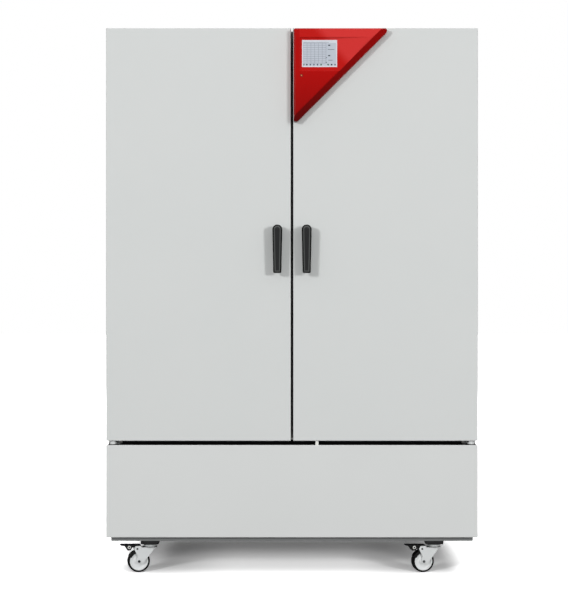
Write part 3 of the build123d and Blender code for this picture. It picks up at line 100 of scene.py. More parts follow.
# Screws, in millimetres: in from a panel's edge, aside on the fan panel, and their heads, with
# the crown and the key as shares of the head, and how many stand in each row
SCREW_INSET, FAN_SCREW_ASIDE = 10.0, 430.0
FLUSH_RADIUS, FLUSH_HEIGHT = 4.2, 0.3
PROUD_RADIUS, PROUD_HEIGHT = 4.5, 2.4
HEAD_CROWN, HEAD_KEY, KEY_DEPTH = 0.72, 0.42, 1.04
REAR_ROWS, REAR_COLUMNS, GRILLE_COLUMNS, FAN_ROWS = 8, 7, 5, 5

# The studio floor: its colour to each kind of ray, and (place in metres, level) pairs for the
# glow and for the shade painted on it below the cabinet
FLOOR_REACH = 30
FLOOR_TO_CAMERA, FLOOR_TO_MIRRORS, FLOOR_TO_OTHERS = 3.0, 0.7, 0.2
UNDER_FRONT, UNDER_BACK = (-0.15, 0.40), (0.30, 0.05)
UNDER_MIDDLE, UNDER_CASTERS = (0.18, 1.0), (0.46, 0.3)
SHADE_FROM, SHADE_FULL = (-0.60, 0.0), (-0.22, 0.66)
SHADE_INSIDE, SHADE_OUTSIDE = (0.52, 1.0), (0.62, 0.0)

# The studio's light: the world's levels against a white of 1, angles above the horizon in
# degrees, and the lamps as place and square side in metres and power in watts
SKY_LIGHT = 0.56
FRONT_GLOW, CEILING_GLOW = 0.5, 1.4
CEILING_FROM, CEILING_FULL = 11.0, 24.0
LAMP_TARGET = (0, 0, 1.1)
LAMPS = {
    "key_left": ((-4.9, -7.6, 3.2), 1.1, 324),
    "key_right": ((5.0, -7.6, 2.4), 1.1, 324),
    "fill_back": ((0.0, 8.5, 4.2), 3.5, 190),
}

door_low, door_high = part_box("left_door_skin")
front_plane = door_low.y
camera_height = door_high.z - (HORIZON_ROW - TOP_ROW) * MM_PER_PIXEL * MM

CASTERS = ("front_left", "front_right", "rear_left", "rear_right")
EVEN = (1, 1, 1)
SHARP, MERGE_DISTANCE = math.radians(35), 1e-6


def linear(hex_colour):
    """An sRGB hex colour as the linear values that a shader socket takes."""
    channels = [int(hex_colour[i : i + 2], 16) / 255 for i in (0, 2, 4)]
    return [c / 12.92 if c <= 0.04045 else ((c + 0.055) / 1.055) ** 2.4 for c in channels] + [1.0]


def add(tree, kind, inputs=None, **settings):
    """Add one node. Settings are its properties; inputs are values, or sockets to link from."""
    made = tree.nodes.new(kind)
    for key, value in settings.items():
        setattr(made, key, value)
    for key, value in (inputs or {}).items():
        if isinstance(value, bpy.types.NodeSocket):
            tree.links.new(value, made.inputs[key])
        else:
            made.inputs[key].default_value = value
    return made


def compute(tree, operation, *values):
    """The result of one Math node on numbers or sockets."""
    made = add(tree, "ShaderNodeMath", dict(enumerate(values)), operation=operation)
    return made.outputs[0]


def split_place(tree, place):
    """The X, Y and Z sockets of a place."""
    return add(tree, "ShaderNodeSeparateXYZ", {"Vector": place}).outputs


def ramp(tree, value, start, end, curve="SMOOTHSTEP"):
    """A value led from one (input, output) pair to another."""
    made = add(tree, "ShaderNodeMapRange", {"Value": value}, interpolation_type=curve)
    made.inputs["From Min"].default_value, made.inputs["To Min"].default_value = start
    made.inputs["From Max"].default_value, made.inputs["To Max"].default_value = end
    return made.outputs[0]


def blend(tree, factor, one, other):
    """One colour, or socket, led into another by a factor."""
    made = add(tree, "ShaderNodeMix", {"Factor": factor}, data_type="RGBA")
    for key, value in (("A", one), ("B", other)):
        if isinstance(value, bpy.types.NodeSocket):
            tree.links.new(value, made.inputs[key])
        else:
            made.inputs[key].default_value = value
    return made.outputs["Result"]


def new_material(name, **sockets):
    """A material with one Principled shader, and the tree, shader and object coordinates."""
    material = bpy.data.materials.new(name)
    material.use_nodes = True
    tree = material.node_tree
    tree.nodes.clear()
    shader = add(tree, "ShaderNodeBsdfPrincipled")
    for key, value in sockets.items():
        shader.inputs[key.replace("_", " ")].default_value = value
    add(tree, "ShaderNodeOutputMaterial", {"Surface": shader.outputs[0]})
    place = add(tree, "ShaderNodeTexCoord").outputs["Object"]
    return material, tree, shader, place


def varied(tree, place, low, high, size_mm):
    """A colour that drifts between two values over patches of a real size."""
    noise = {"Vector": place, "Scale": 1000 / size_mm, "Detail": 2.0}
    noise = add(tree, "ShaderNodeTexNoise", noise)
    return blend(tree, noise.outputs["Fac"], linear(low), linear(high))


def grain(tree, place, shader, size_mm, height_mm, stretch=EVEN):
    """A fine bump of a real size, stretched along an axis where the finish has a direction."""
    stretched = add(tree, "ShaderNodeMapping", {"Vector": place, "Scale": stretch})
    noise = {"Vector": stretched.outputs[0], "Scale": 1000 / size_mm, "Detail": 3.0}
    noise = add(tree, "ShaderNodeTexNoise", noise).outputs["Fac"]
    bump = {"Height": noise, "Distance": height_mm * MM, "Strength": 1.0}
    bump = add(tree, "ShaderNodeBump", bump)
    tree.links.new(bump.outputs[0], shader.inputs["Normal"])
    return noise


def roughness_band(tree, shader, factor, low, high):
    """Roughness that runs from low to high with a 0 to 1 pattern."""
    band = add(tree, "ShaderNodeMapRange", {"Value": factor, "To Min": low, "To Max": high})
    tree.links.new(band.outputs[0], shader.inputs["Roughness"])


def powder_coat(name, low, high, roughness=0.42, masked=None):
    """Powder coat: baked polyester paint, satin, with a faint orange peel about 2 mm across.

    masked(tree, place, colour) may lay another colour over a part of it.
    """
    material, tree, shader, place = new_material(name, IOR=1.5)
    colour = varied(tree, place, low, high, 260)
    if masked:
        colour = masked(tree, place, colour)
    tree.links.new(colour, shader.inputs["Base Color"])
    peel = grain(tree, place, shader, 2.2, 0.02)
    roughness_band(tree, shader, peel, roughness - 0.05, roughness + 0.07)
    return material


def moulded_plastic(name, low, high, roughness, gloss=0.5):
    """Injection-moulded plastic with the fine spark-eroded grain of its mould."""
    material, tree, shader, place = new_material(name, IOR=1.48, Specular_IOR_Level=gloss)
    tree.links.new(varied(tree, place, low, high, 40), shader.inputs["Base Color"])
    pits = grain(tree, place, shader, 0.7, 0.03)
    roughness_band(tree, shader, pits, roughness - 0.06, roughness + 0.08)
    return material


def metal(name, low, high, roughness, stretch, line_mm, depth_mm=0.012, bare=1.0):
    """Metal whose rolling or brushing lines run along the axis that isn't stretched."""
    material, tree, shader, place = new_material(name, Metallic=bare)
    tree.links.new(varied(tree, place, low, high, 90), shader.inputs["Base Color"])
    lines = grain(tree, place, shader, line_mm, depth_mm, stretch)
    roughness_band(tree, shader, lines, roughness - 0.08, roughness + 0.12)
    return material


def soft_rubber(name, low, high, roughness=0.62, gloss=0.3):
    """Extruded or moulded elastomer: matt, with a slight bloom in patches."""
    material, tree, shader, place = new_material(name, Specular_IOR_Level=gloss)
    tree.links.new(varied(tree, place, low, high, 25), shader.inputs["Base Color"])
    bloom = grain(tree, place, shader, 1.1, 0.03)
    roughness_band(tree, shader, bloom, roughness - 0.07, roughness + 0.1)
    return material


def housing_plastic_painted_light():
    """Red ABS, with light and shade painted into its colour by position.

    A painted highlight makes it brighter in the bay and on the bay's ramp; painted shade makes it
    deeper below, darker towards the tip, and darkest on the long facet.
    """
    material, tree, shader, place = new_material("red_abs_painted_light_and_shade", Specular_IOR_Level=0.08)
    low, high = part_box("controller_housing")
    bay_left, bay_foot = low.x + BAY_INSET * MM, high.z - BAY_DROP * MM
    spot = split_place(tree, place)
    above = compute(tree, "GREATER_THAN", spot["Z"], bay_foot)
    inside = compute(tree, "GREATER_THAN", spot["X"], bay_left)
    in_bay = compute(tree, "MULTIPLY", above, inside)
    # Painted shade: the lower face is a deeper red, darkest towards its tip
    rise = ramp(tree, spot["Z"], (low.z, 0.0), (bay_foot, 1.0), "LINEAR")
    deep = blend(tree, rise, linear("860605"), linear("A80B09"))
    # Painted highlight: a brighter red in the bay past a slanted line
    upward = compute(tree, "MULTIPLY_ADD", spot["Z"], HIGHLIGHT_SHARE, spot["X"])
    highlight_lean = ramp(tree, upward, (HIGHLIGHT_FROM * MM, 0.0), (HIGHLIGHT_FULL * MM, 1.0))
    bright = blend(tree, highlight_lean, linear("B41612"), linear("C83230"))
    mixed = blend(tree, in_bay, deep, bright)
    # Painted shade on the long facet, darkest near its foot
    climb = ramp(tree, spot["Z"], (low.z, 0.0), (high.z, 1.0), "LINEAR")
    facet = blend(tree, climb, linear("5A0303"), linear("960403"))
    slant = compute(tree, "SUBTRACT", spot["Z"], spot["X"])
    edge = high.z - low.x - (CONTROLLER_LEG - LONG_FACET) * MM
    blur = FACET_BLUR * MM
    on_shaded_facet = ramp(tree, slant, (edge - blur, 1.0), (edge + blur, 0.0))
    mixed = blend(tree, on_shaded_facet, mixed, facet)
    tree.links.new(mixed, shader.inputs["Base Color"])
    pits = grain(tree, place, shader, 0.9, 0.015)
    roughness_band(tree, shader, pits, 0.24, 0.34)
    return material


def split_painted_shade(tree, place, paint):
    """Painted shade over the doors' paint: black on the front of the two edges that meet, for the
    dark split.
    """
    spot = split_place(tree, place)
    aside = compute(tree, "ABSOLUTE", spot["X"])
    near = compute(tree, "LESS_THAN", aside, SPLIT_SHADE_WIDTH * MM)
    forward = compute(tree, "LESS_THAN", spot["Y"], front_plane + SPLIT_SHADE_DEPTH * MM)
    return blend(tree, compute(tree, "MULTIPLY", forward, near), paint, linear("040404"))


def black_spacers(tree, place, paint):
    """Black over the frame's paint on the caster spacers, which are below its rails."""
    height = split_place(tree, place)["Z"]
    low = compute(tree, "LESS_THAN", height, RAIL_BOTTOM * MM)
    return blend(tree, low, paint, linear("0C0C0D"))


def lever_nylon():
    """Black glass-filled nylon, with painted shade on the sides and a painted highlight line
    where the front's facets meet.

    Both follow the lever's outline: straight sides that taper to the foot, under a round top.
    """
    name = "black_glass_filled_nylon"
    material, tree, shader, place = new_material(name, Specular_IOR_Level=0.15)
    spot = split_place(tree, place)
    low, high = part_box("right_handle")
    centre, half = (low.x + high.x) / 2, (high.x - low.x) / 2
    round_foot, foot_half = high.z - half, LEVER_FOOT / 2 * MM
    aside = compute(tree, "SUBTRACT", compute(tree, "ABSOLUTE", spot["X"]), centre)
    above = compute(tree, "SUBTRACT", spot["Z"], round_foot)
    above = compute(tree, "MAXIMUM", above, 0.0)
    away = add(tree, "ShaderNodeCombineXYZ", {"X": aside, "Y": above})
    away = add(tree, "ShaderNodeVectorMath", {0: away.outputs[0]}, operation="LENGTH")
    width = ramp(tree, spot["Z"], (low.z, foot_half), (round_foot, half), "LINEAR")
    inset = compute(tree, "SUBTRACT", width, away.outputs["Value"])
    rise = compute(tree, "SUBTRACT", spot["Z"], low.z)
    inset = compute(tree, "MINIMUM", inset, rise)
    # Painted shade along the sides, and a painted highlight line inside them
    side = ramp(tree, inset, (SIDE_SHADE_FULL * MM, 1.0), (SIDE_SHADE_END * MM, 0.0))
    line = ramp(tree, inset, (HIGHLIGHT_LINE_FULL * MM, 1.0), (HIGHLIGHT_LINE_END * MM, 0.0))
    front = varied(tree, place, "222323", "272828", 40)
    highlighted_front = blend(tree, line, front, linear("515352"))
    tree.links.new(blend(tree, side, highlighted_front, linear("020202")), shader.inputs["Base Color"])
    pits = grain(tree, place, shader, 0.7, 0.03)
    roughness_band(tree, shader, pits, 0.3, 0.44)
    return material


def caster_top_plate():
    """Grey zinc plate on the swivel race, below a top plate that is black above a set height."""
    material, tree, shader, place = new_material("zinc_race_black_plate", Metallic=0.2)
    black_above = compute(tree, "GREATER_THAN", split_place(tree, place)["Z"], BLACK_PLATE_FROM * MM)
    plated = varied(tree, place, "8C9090", "9A9E9E", 90)
    colour = blend(tree, black_above, plated, linear("0B0B0C"))
    tree.links.new(colour, shader.inputs["Base Color"])
    lines = grain(tree, place, shader, 3.0, 0.012)
    roughness_band(tree, shader, lines, 0.32, 0.5)
    return material


def clear_glass():
    """Toughened float glass, faintly green, with an even polish."""
    material, tree, shader, place = new_material("toughened_glass", Roughness=0.02, IOR=1.45)
    shader.inputs["Base Color"].default_value = linear("EAF4F1")
    shader.inputs["Transmission Weight"].default_value = 1.0
    smear = add(tree, "ShaderNodeTexNoise", {"Vector": place, "Scale": 6.0, "Detail": 2.0})
    roughness_band(tree, shader, smear.outputs["Fac"], 0.01, 0.035)
    return material


def rigid_foam():
    """Sprayed polyurethane foam, pale yellow, with cells about 3 mm across."""
    material, tree, shader, place = new_material("polyurethane_foam", IOR=1.3)
    tree.links.new(varied(tree, place, "C9B98A", "DDD0A6", 30), shader.inputs["Base Color"])
    cells = grain(tree, place, shader, 3.0, 0.4)
    roughness_band(tree, shader, cells, 0.8, 0.95)
    return material


def display_glow(name, colour, strength):
    """A part of the lit display: the colour of the liquid crystal with the lamp behind it."""
    material, tree, shader, place = new_material(name, Roughness=0.25, IOR=1.5)
    tint = varied(tree, place, colour[0], colour[1], 22)
    tree.links.new(tint, shader.inputs["Base Color"])
    tree.links.new(tint, shader.inputs["Emission Color"])
    shader.inputs["Emission Strength"].default_value = strength
    return material


def make_materials():
    """Every finish on the chamber, by a short name."""
    across = (1, 1, 40)
    split_shaded_name = "light_grey_powder_coat_split_shade"
    return {
        # The doors' paint carries painted shade along the split
        "door_paint": powder_coat(split_shaded_name, "CCCFCE", "CFD1D0", masked=split_painted_shade),
        "base_paint": powder_coat("light_grey_powder_coat_base", "CFD1D0", "D2D4D3"),
        "frame_paint": powder_coat(
            "dark_grey_frame_paint", "6C6E6E", "767878", 0.5, masked=black_spacers
        ),
        "stainless": metal("brushed_stainless", "B9B8B4", "CBCAC6", 0.34, across, 60.0),
        "zinc": metal("bright_zinc_plate", "DDE0E0", "E8EAEA", 0.38, EVEN, 3.0, bare=0.3),
        "top_plate": caster_top_plate(),
        "cast": metal("cast_aluminium", "A4A6A6", "B6B8B8", 0.5, EVEN, 1.4, 0.05),
        "heater": metal("annealed_heater_sheath", "5A5048", "6E655C", 0.45, EVEN, 2.0),
        "enamel": powder_coat("black_compressor_enamel", "0D0D0E", "151516", 0.3),
        "moulding": moulded_plastic("black_polypropylene", "0B0B0B", "121212", 0.5, gloss=0.25),
        "lever": lever_nylon(),
        "red": housing_plastic_painted_light(),
        "seal": soft_rubber("black_gasket_vinyl", "0A0A0A", "101010", gloss=0.12),
        "silicone": soft_rubber("translucent_silicone", "C9C8C0", "D6D5CD", 0.45),
        "tyre": soft_rubber("black_thermoplastic_tread", "050505", "0A0A0A", 0.6, gloss=0.12),
        "rim": moulded_plastic("grey_nylon_rim", "DDDFDF", "E6E8E8", 0.4),
        "pale": moulded_plastic("pale_nylon_glide", "DCDDD8", "E6E7E2", 0.5),
        "liner": powder_coat("inner_door_sheet", "CFD1D0", "D3D5D4", 0.38),
        "glass": clear_glass(),
        "foam": rigid_foam(),
        "lcd": display_glow("lcd_plot_field", ("AEB4BE", "B6BCC5"), 0.08),
        "lcd_pale": display_glow("lcd_pale_field", ("ACB3BD", "B5BBC5"), 0.08),
        "lcd_light": display_glow("lcd_margin", ("C4C8CF", "CCD0D7"), 0.1),
        "lcd_line": display_glow("lcd_grid_line", ("7C8490", "868E99"), 0.0),
        "lcd_key": display_glow("lcd_grey_key", ("5A6470", "66707C"), 0.0),
        "lamp": moulded_plastic("amber_lens", "C8693C", "D8804E", 0.2),
        "dark_red": moulded_plastic("dark_red_ring", "4A0605", "5A0807", 0.4),
        "lcd_dark": display_glow("lcd_dark_symbol", ("202A32", "2C363E"), 0.0),
        "lcd_green": display_glow("lcd_green_symbol", ("3B5F4C", "4A6E58"), 0.0),
        # The screws' key recesses: dark as painted shade
        "socket": metal("shaded_screw_recess", "2A2A2B", "333435", 0.5, EVEN, 2.0),
        "screw": metal("bright_screw_steel", "A9A9A6", "BDBDBA", 0.3, EVEN, 2.0),
        "black_screw": metal("black_oxide_screw", "3A3B3C", "484A4B", 0.4, EVEN, 2.0, bare=0.6),
    }


def smooth(mesh):
    """Shade curved stretches smooth, and keep sharp edges."""
    mesh.polygons.foreach_set("use_smooth", [True] * len(mesh.polygons))
    mesh.set_sharp_from_angle(angle=SHARP)


def piece(name, shape, material, body):
    """A finished piece from a bmesh or a mesh, at the origin, riding on its body."""
    if isinstance(shape, bmesh.types.BMesh):
        shape = from_bmesh(name, shape)
        shape.materials.append(material)
    made = bpy.data.objects.new(name, shape)
    bpy.context.collection.objects.link(made)
    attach(made, body)


def from_bmesh(name, work):
    """A bmesh made into a mesh with its faces pointing outwards."""
    bmesh.ops.remove_doubles(work, verts=work.verts, dist=MERGE_DISTANCE)
    bmesh.ops.recalc_face_normals(work, faces=work.faces)
    mesh = bpy.data.meshes.new(name)
    work.to_mesh(mesh)
    work.free()
    smooth(mesh)
    return mesh


def turned(work, profile, centre, axis, steps=48):
    """A turned part: (radius, along) points in millimetres, swept round an axis at a centre."""
    turn = Vector((0, 0, 1)).rotation_difference(Vector(axis).normalized()).to_matrix().to_4x4()
    place = Matrix.Translation(centre) @ turn
    loops = []
    for i in range(steps):
        angle = 2 * math.pi * i / steps
        ring = [(r * MM * math.cos(angle), r * MM * math.sin(angle), h * MM) for r, h in profile]
        loops.append([work.verts.new(place @ Vector(point)) for point in ring])
    for i in range(steps):
        a, b = loops[i], loops[(i + 1) % steps]
        for j in range(len(profile) - 1):
            work.faces.new((a[j], b[j], b[j + 1], a[j + 1]))


def bevelled_box(work, low, high, bevel=0.0):
    """A box between two corners with softened edges."""
    low, high = Vector(low), Vector(high)
    made = bmesh.ops.create_cube(work, size=1.0)["verts"]
    scale = Matrix.Diagonal((*(high - low), 1.0))
    bmesh.ops.transform(work, matrix=Matrix.Translation((low + high) / 2) @ scale, verts=made)
    if bevel:
        edges = list({edge for vert in made for edge in vert.link_edges})
        bmesh.ops.bevel(work, geom=edges, offset=bevel, segments=2, affect="EDGES")


def dress(names, material):
    """Give CAD nodes a finish in place of the plain one they came with."""
    for name in names:
        mesh = nodes[name].data
        mesh.materials.clear()
        mesh.materials.append(material)


def dress_cad(finish):
    """Finishes for the CAD nodes, which all keep their own shape."""
    plan = {
        "door_paint": ["left_door_skin", "right_door_skin"],
        "base_paint": ["base_front_panel", "side_panel_left", "side_panel_right", "top_panel"],
        "frame_paint": ["base_frame"],
        "stainless": ["inner_chamber", "front_frame", "shelf_rails", "access_port", "fan_panel"],
        "zinc": ["hinge_brackets", "control_box"],
        "top_plate": ["caster_plates"],
        "cast": ["fan_motor", "evaporator", "condenser", "circulation_fan"],
        "heater": ["heater_coil"],
        "enamel": ["compressor"],
        # The door sill is black moulding; its black also stands for the shade in the gap under
        # the doors
        "moulding": ["door_sill", "power_inlet", "condenser_fan"],
        "lever": ["left_handle_base", "right_handle_base", "left_handle", "right_handle"],
        "red": ["controller_housing"],
        "lcd_light": ["controller_screen"],
        "seal": ["left_door_gasket", "right_door_gasket"],
        "silicone": ["inner_door_gasket", "port_plug"],
        "pale": ["door_glide"],
        "liner": ["left_door_inner", "right_door_inner"],
        "glass": ["left_glass_pane", "right_glass_pane"],
        "foam": ["chamber_insulation"],
    }
    plan["base_paint"] += ["rear_panel", "base_rear_grille"]
    plan["stainless"] += ["air_ducts", "shelves", "left_glass_fittings", "right_glass_fittings"]
    plan["zinc"] += [f"{place}_fork" for place in CASTERS]
    plan["moulding"] += [f"{place}_brake_pedal" for place in CASTERS if place.startswith("front")]
    plan["rim"] = [f"{place}_rim" for place in CASTERS]
    plan["tyre"] = [f"{place}_tyre" for place in CASTERS]
    for key, names in plan.items():
        dress(names, finish[key])


def set_camera():
    """The photograph's camera: level, at its height, with its framing as shift."""
    data = bpy.data.cameras.new("photo_camera")
    data.sensor_fit = "VERTICAL"
    data.sensor_height = SENSOR
    focal_pixels = CAMERA_DISTANCE / (MM_PER_PIXEL * MM)
    data.lens = focal_pixels * SENSOR / PHOTO_HEIGHT
    data.shift_x = (PHOTO_WIDTH / 2 - CENTRE_COLUMN) / PHOTO_HEIGHT
    data.shift_y = (HORIZON_ROW - PHOTO_HEIGHT / 2) / PHOTO_HEIGHT
    camera = bpy.data.objects.new("photo_camera", data)
    camera.location = (0, front_plane - CAMERA_DISTANCE, camera_height)
    camera.rotation_euler = (math.radians(90), 0, 0)
    bpy.context.collection.objects.link(camera)
    bpy.context.scene.camera = camera


def set_lamps():
    """Soft boxes aimed at the cabinet: a key on each side of the camera and a weak one behind."""
    for name, (place, side, power) in LAMPS.items():
        data = bpy.data.lights.new(name, "AREA")
        data.shape = "RECTANGLE"
        data.size, data.size_y = side, side
        data.energy = power
        lamp = bpy.data.objects.new(name, data)
        lamp.location = place
        aim = Vector(LAMP_TARGET) - Vector(place)
        lamp.rotation_euler = aim.to_track_quat("-Z", "Y").to_euler()
        lamp.visible_glossy = False
        bpy.context.collection.objects.link(lamp)
    bpy.context.scene.view_settings.view_transform = "Standard"


def set_floor():
    """White paper underfoot, on which the camera's rays find more colour than the others.

    Below the cabinet its colour is shaded by position, and a glow for the camera's rays alone
    gives that shade the photograph's tones. The lamps' own shadows fall on it as well.
    """
    material = bpy.data.materials.new("studio_floor")
    material.use_nodes = True
    tree = material.node_tree
    tree.nodes.clear()
    path = add(tree, "ShaderNodeLightPath").outputs
    to_camera, to_mirrors = FLOOR_TO_CAMERA - FLOOR_TO_OTHERS, FLOOR_TO_MIRRORS - FLOOR_TO_OTHERS
    tone = compute(tree, "MULTIPLY_ADD", path["Is Camera Ray"], to_camera, FLOOR_TO_OTHERS)
    tone = compute(tree, "MULTIPLY_ADD", path["Is Glossy Ray"], to_mirrors, tone)
    spot = split_place(tree, add(tree, "ShaderNodeTexCoord").outputs["Object"])
    aside = compute(tree, "ABSOLUTE", spot["X"])
    inside = ramp(tree, aside, SHADE_INSIDE, SHADE_OUTSIDE)
    shade = ramp(tree, spot["Y"], SHADE_FROM, SHADE_FULL)
    open_part = compute(tree, "SUBTRACT", 1.0, compute(tree, "MULTIPLY", shade, inside))
    tone = compute(tree, "MULTIPLY", tone, open_part)
    paper = add(tree, "ShaderNodeBsdfDiffuse", {"Color": tone})
    deep = ramp(tree, spot["Y"], UNDER_FRONT, UNDER_BACK)
    wide = ramp(tree, aside, UNDER_MIDDLE, UNDER_CASTERS)
    under = compute(tree, "MULTIPLY", deep, wide)
    lift = compute(tree, "MULTIPLY", path["Is Camera Ray"], under)
    glow = add(tree, "ShaderNodeEmission", {"Strength": lift})
    both = add(tree, "ShaderNodeAddShader", {0: paper.outputs[0], 1: glow.outputs[0]})
    add(tree, "ShaderNodeOutputMaterial", {"Surface": both.outputs[0]})
    work = bmesh.new()
    bmesh.ops.create_grid(work, x_segments=1, y_segments=1, size=FLOOR_REACH)
    mesh = bpy.data.meshes.new("studio_floor")
    work.to_mesh(mesh)
    work.free()
    mesh.materials.append(material)
    floor = bpy.data.objects.new("studio_floor", mesh)
    bpy.context.collection.objects.link(floor)


def set_world():
    """White behind the object and even light on it.

    What its gloss reflects is a dim horizon below a bright ceiling.
    """
    world = bpy.data.worlds.new("studio")
    bpy.context.scene.world = world
    world.use_nodes = True
    tree = world.node_tree
    tree.nodes.clear()
    path = add(tree, "ShaderNodeLightPath").outputs
    height = split_place(tree, add(tree, "ShaderNodeTexCoord").outputs["Generated"])["Z"]
    low_sky = (math.sin(math.radians(CEILING_FROM)), FRONT_GLOW)
    high_sky = (math.sin(math.radians(CEILING_FULL)), CEILING_GLOW)
    mirrored = ramp(tree, height, low_sky, high_sky)
    level = {"Factor": path["Is Glossy Ray"], "A": SKY_LIGHT, "B": mirrored}
    level = add(tree, "ShaderNodeMix", level, data_type="FLOAT").outputs["Result"]
    through = compute(tree, "MAXIMUM", path["Is Camera Ray"], path["Is Transmission Ray"])
    seen = {"Factor": through, "A": level, "B": 1.0}
    seen = add(tree, "ShaderNodeMix", seen, data_type="FLOAT").outputs["Result"]
    white = (1.0, 1.0, 1.0, 1.0)
    sky = add(tree, "ShaderNodeBackground", {"Color": white, "Strength": seen})
    add(tree, "ShaderNodeOutputWorld", {"Surface": sky.outputs[0]})


# The controller's display, in millimetres from the top left corner of its screen
PALE_FIELD = (3.2, 9.0, 110.6, 77.5)
PLOT = (4.2, 10.0, 75.8, 66.7)
GRID_COLUMNS, GRID_ROWS = 6, 9
GRID_LINE = 0.9
HEADER_LINE = (5.0, 7.6, 84.0, 1.0)
READINGS = (
    (87.0, 15.5, 7.0, 3.6),
    (86.0, 31.0, 22.0, 1.2),
    (87.0, 50.0, 7.0, 3.6),
    (79.0, 57.5, 3.4, 2.4),
    (88.0, 66.5, 14.0, 1.4),
    (79.0, 73.5, 3.4, 2.4),
)
ICON_ROW, ICON_RADIUS, ICON_RISE = 82.0, 3.1, 0.5
DARK_ICONS = (16.0, 98.9)
GREEN_ICONS = (5.3, 63.8, 86.9)
GREY_ICONS = (27.7, 39.4, 51.5, 110.2)
SCREEN_SINK, AXIS_WIDTH, AXIS_GAP = 1.0, 1.0, 0.2
# How far each layer stands out from the glass
FIELD_RISE, PLOT_RISE, COLUMN_RISE, ROW_RISE = 0.1, 0.2, 0.3, 0.35
SYMBOL_RISE, AXIS_RISE = 0.3, 0.4

# The status lamp, in millimetres: from the cabinet's middle, and down from the housing's top
LAMP_X, LAMP_DROP = 31.6, 159.0


def make_display(finish):
    """The lit display: a plot with its grid, readings as plain bars, and a row of round keys."""
    low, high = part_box("controller_screen")
    sunk = low.y + SCREEN_SINK * MM
    pale, field, lines, dark, green, grey = [bmesh.new() for _ in range(6)]

    def plate(work, left, top, width, height, proud):
        corner = (low.x + left * MM, sunk - proud * MM, high.z - (top + height) * MM)
        far = (low.x + (left + width) * MM, sunk, high.z - top * MM)
        bevelled_box(work, corner, far)

    def keys(work, places):
        dome = [(0.0, ICON_RISE), (ICON_RADIUS * 0.8, ICON_RISE), (ICON_RADIUS, 0.0)]
        for left in places:
            centre = (low.x + left * MM, sunk, high.z - ICON_ROW * MM)
            turned(work, dome, centre, (0, -1, 0), 24)

    left, top, width, height = PLOT
    plate(pale, *PALE_FIELD, FIELD_RISE)
    plate(field, *PLOT, PLOT_RISE)
    plate(lines, *HEADER_LINE, PLOT_RISE)
    for i in range(GRID_COLUMNS + 1):
        column = left + width * i / GRID_COLUMNS - GRID_LINE / 2
        plate(lines, column, top, GRID_LINE, height, COLUMN_RISE)
    for i in range(GRID_ROWS + 1):
        row = top + height * i / GRID_ROWS - GRID_LINE / 2
        plate(lines, left, row, width, GRID_LINE, ROW_RISE)
    for reading in READINGS:
        plate(dark, *reading, SYMBOL_RISE)
    keys(dark, DARK_ICONS)
    plate(green, left - AXIS_WIDTH - AXIS_GAP, top, AXIS_WIDTH, height, AXIS_RISE)
    keys(green, GREEN_ICONS)
    keys(grey, GREY_ICONS)
    parts = {
        "display_field": (pale, "lcd_pale"),
        "display_plot": (field, "lcd"),
        "display_grid": (lines, "lcd_line"),
        "display_readings": (dark, "lcd_dark"),
        "display_axis": (green, "lcd_green"),
        "display_keys": (grey, "lcd_key"),
    }
    for name, (work, material) in parts.items():
        piece(name, work, finish[material], "right_outer_door")


def make_status_lamp(finish):
    """The controller's small lamp: a dark ring round a lens."""
    low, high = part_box("controller_housing")
    centre = (LAMP_X * MM, low.y, high.z - LAMP_DROP * MM)
    for name, profile, material in (
        ("lamp_ring", LAMP_RING, "dark_red"),
        ("lamp_lens", LAMP_DOME, "lamp"),
    ):
        work = bmesh.new()
        turned(work, profile, centre, (0, -1, 0), 32)
        piece(name, work, finish[material], "right_outer_door")


def make_sill_shade_upstand(finish):
    """A black upstand at the sill's rear: painted shade that closes the view under the doors
    between the hinges.
    """
    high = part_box("door_sill")[1]
    front = bmesh.new()
    near = (-UPSTAND_HALF * MM, high.y - UPSTAND_FRONT * MM, high.z)
    far = (UPSTAND_HALF * MM, high.y - UPSTAND_REAR * MM, high.z + UPSTAND_RISE * MM)
    bevelled_box(front, near, far, UPSTAND_BEVEL * MM)
    piece("sill_shade_upstand", front, finish["moulding"], "cabinet")


def cheek_shade_sheet(work, spot, hand):
    """A thin black sector between the wheel and one cheek of its fork: painted shade on the rim.
    """
    turn = (CHEEK_SHADE_TO - CHEEK_SHADE_FROM) / CHEEK_SHADE_STEPS
    sweep = [math.radians(CHEEK_SHADE_FROM + turn * i) for i in range(CHEEK_SHADE_STEPS + 1)]
    rim = []
    for radius, angles in ((CHEEK_SHADE_OUTER, sweep), (CHEEK_SHADE_INNER, sweep[::-1])):
        for angle in angles:
            along, height = radius * math.cos(angle), radius * math.sin(angle)
            rim.append((CASTER_TRAIL + along, AXLE_HEIGHT + height))
    near, far = [
        [work.verts.new(spot(along, height, hand * depth)) for along, height in rim]
        for depth in (CHEEK_SHADE_FACE, CHEEK_SHADE_FACE + CHEEK_SHADE_SHEET)
    ]
    work.faces.new(near)
    work.faces.new(far[::-1])
    for i in range(len(rim)):
        j = (i + 1) % len(rim)
        work.faces.new((near[i], near[j], far[j], far[i]))


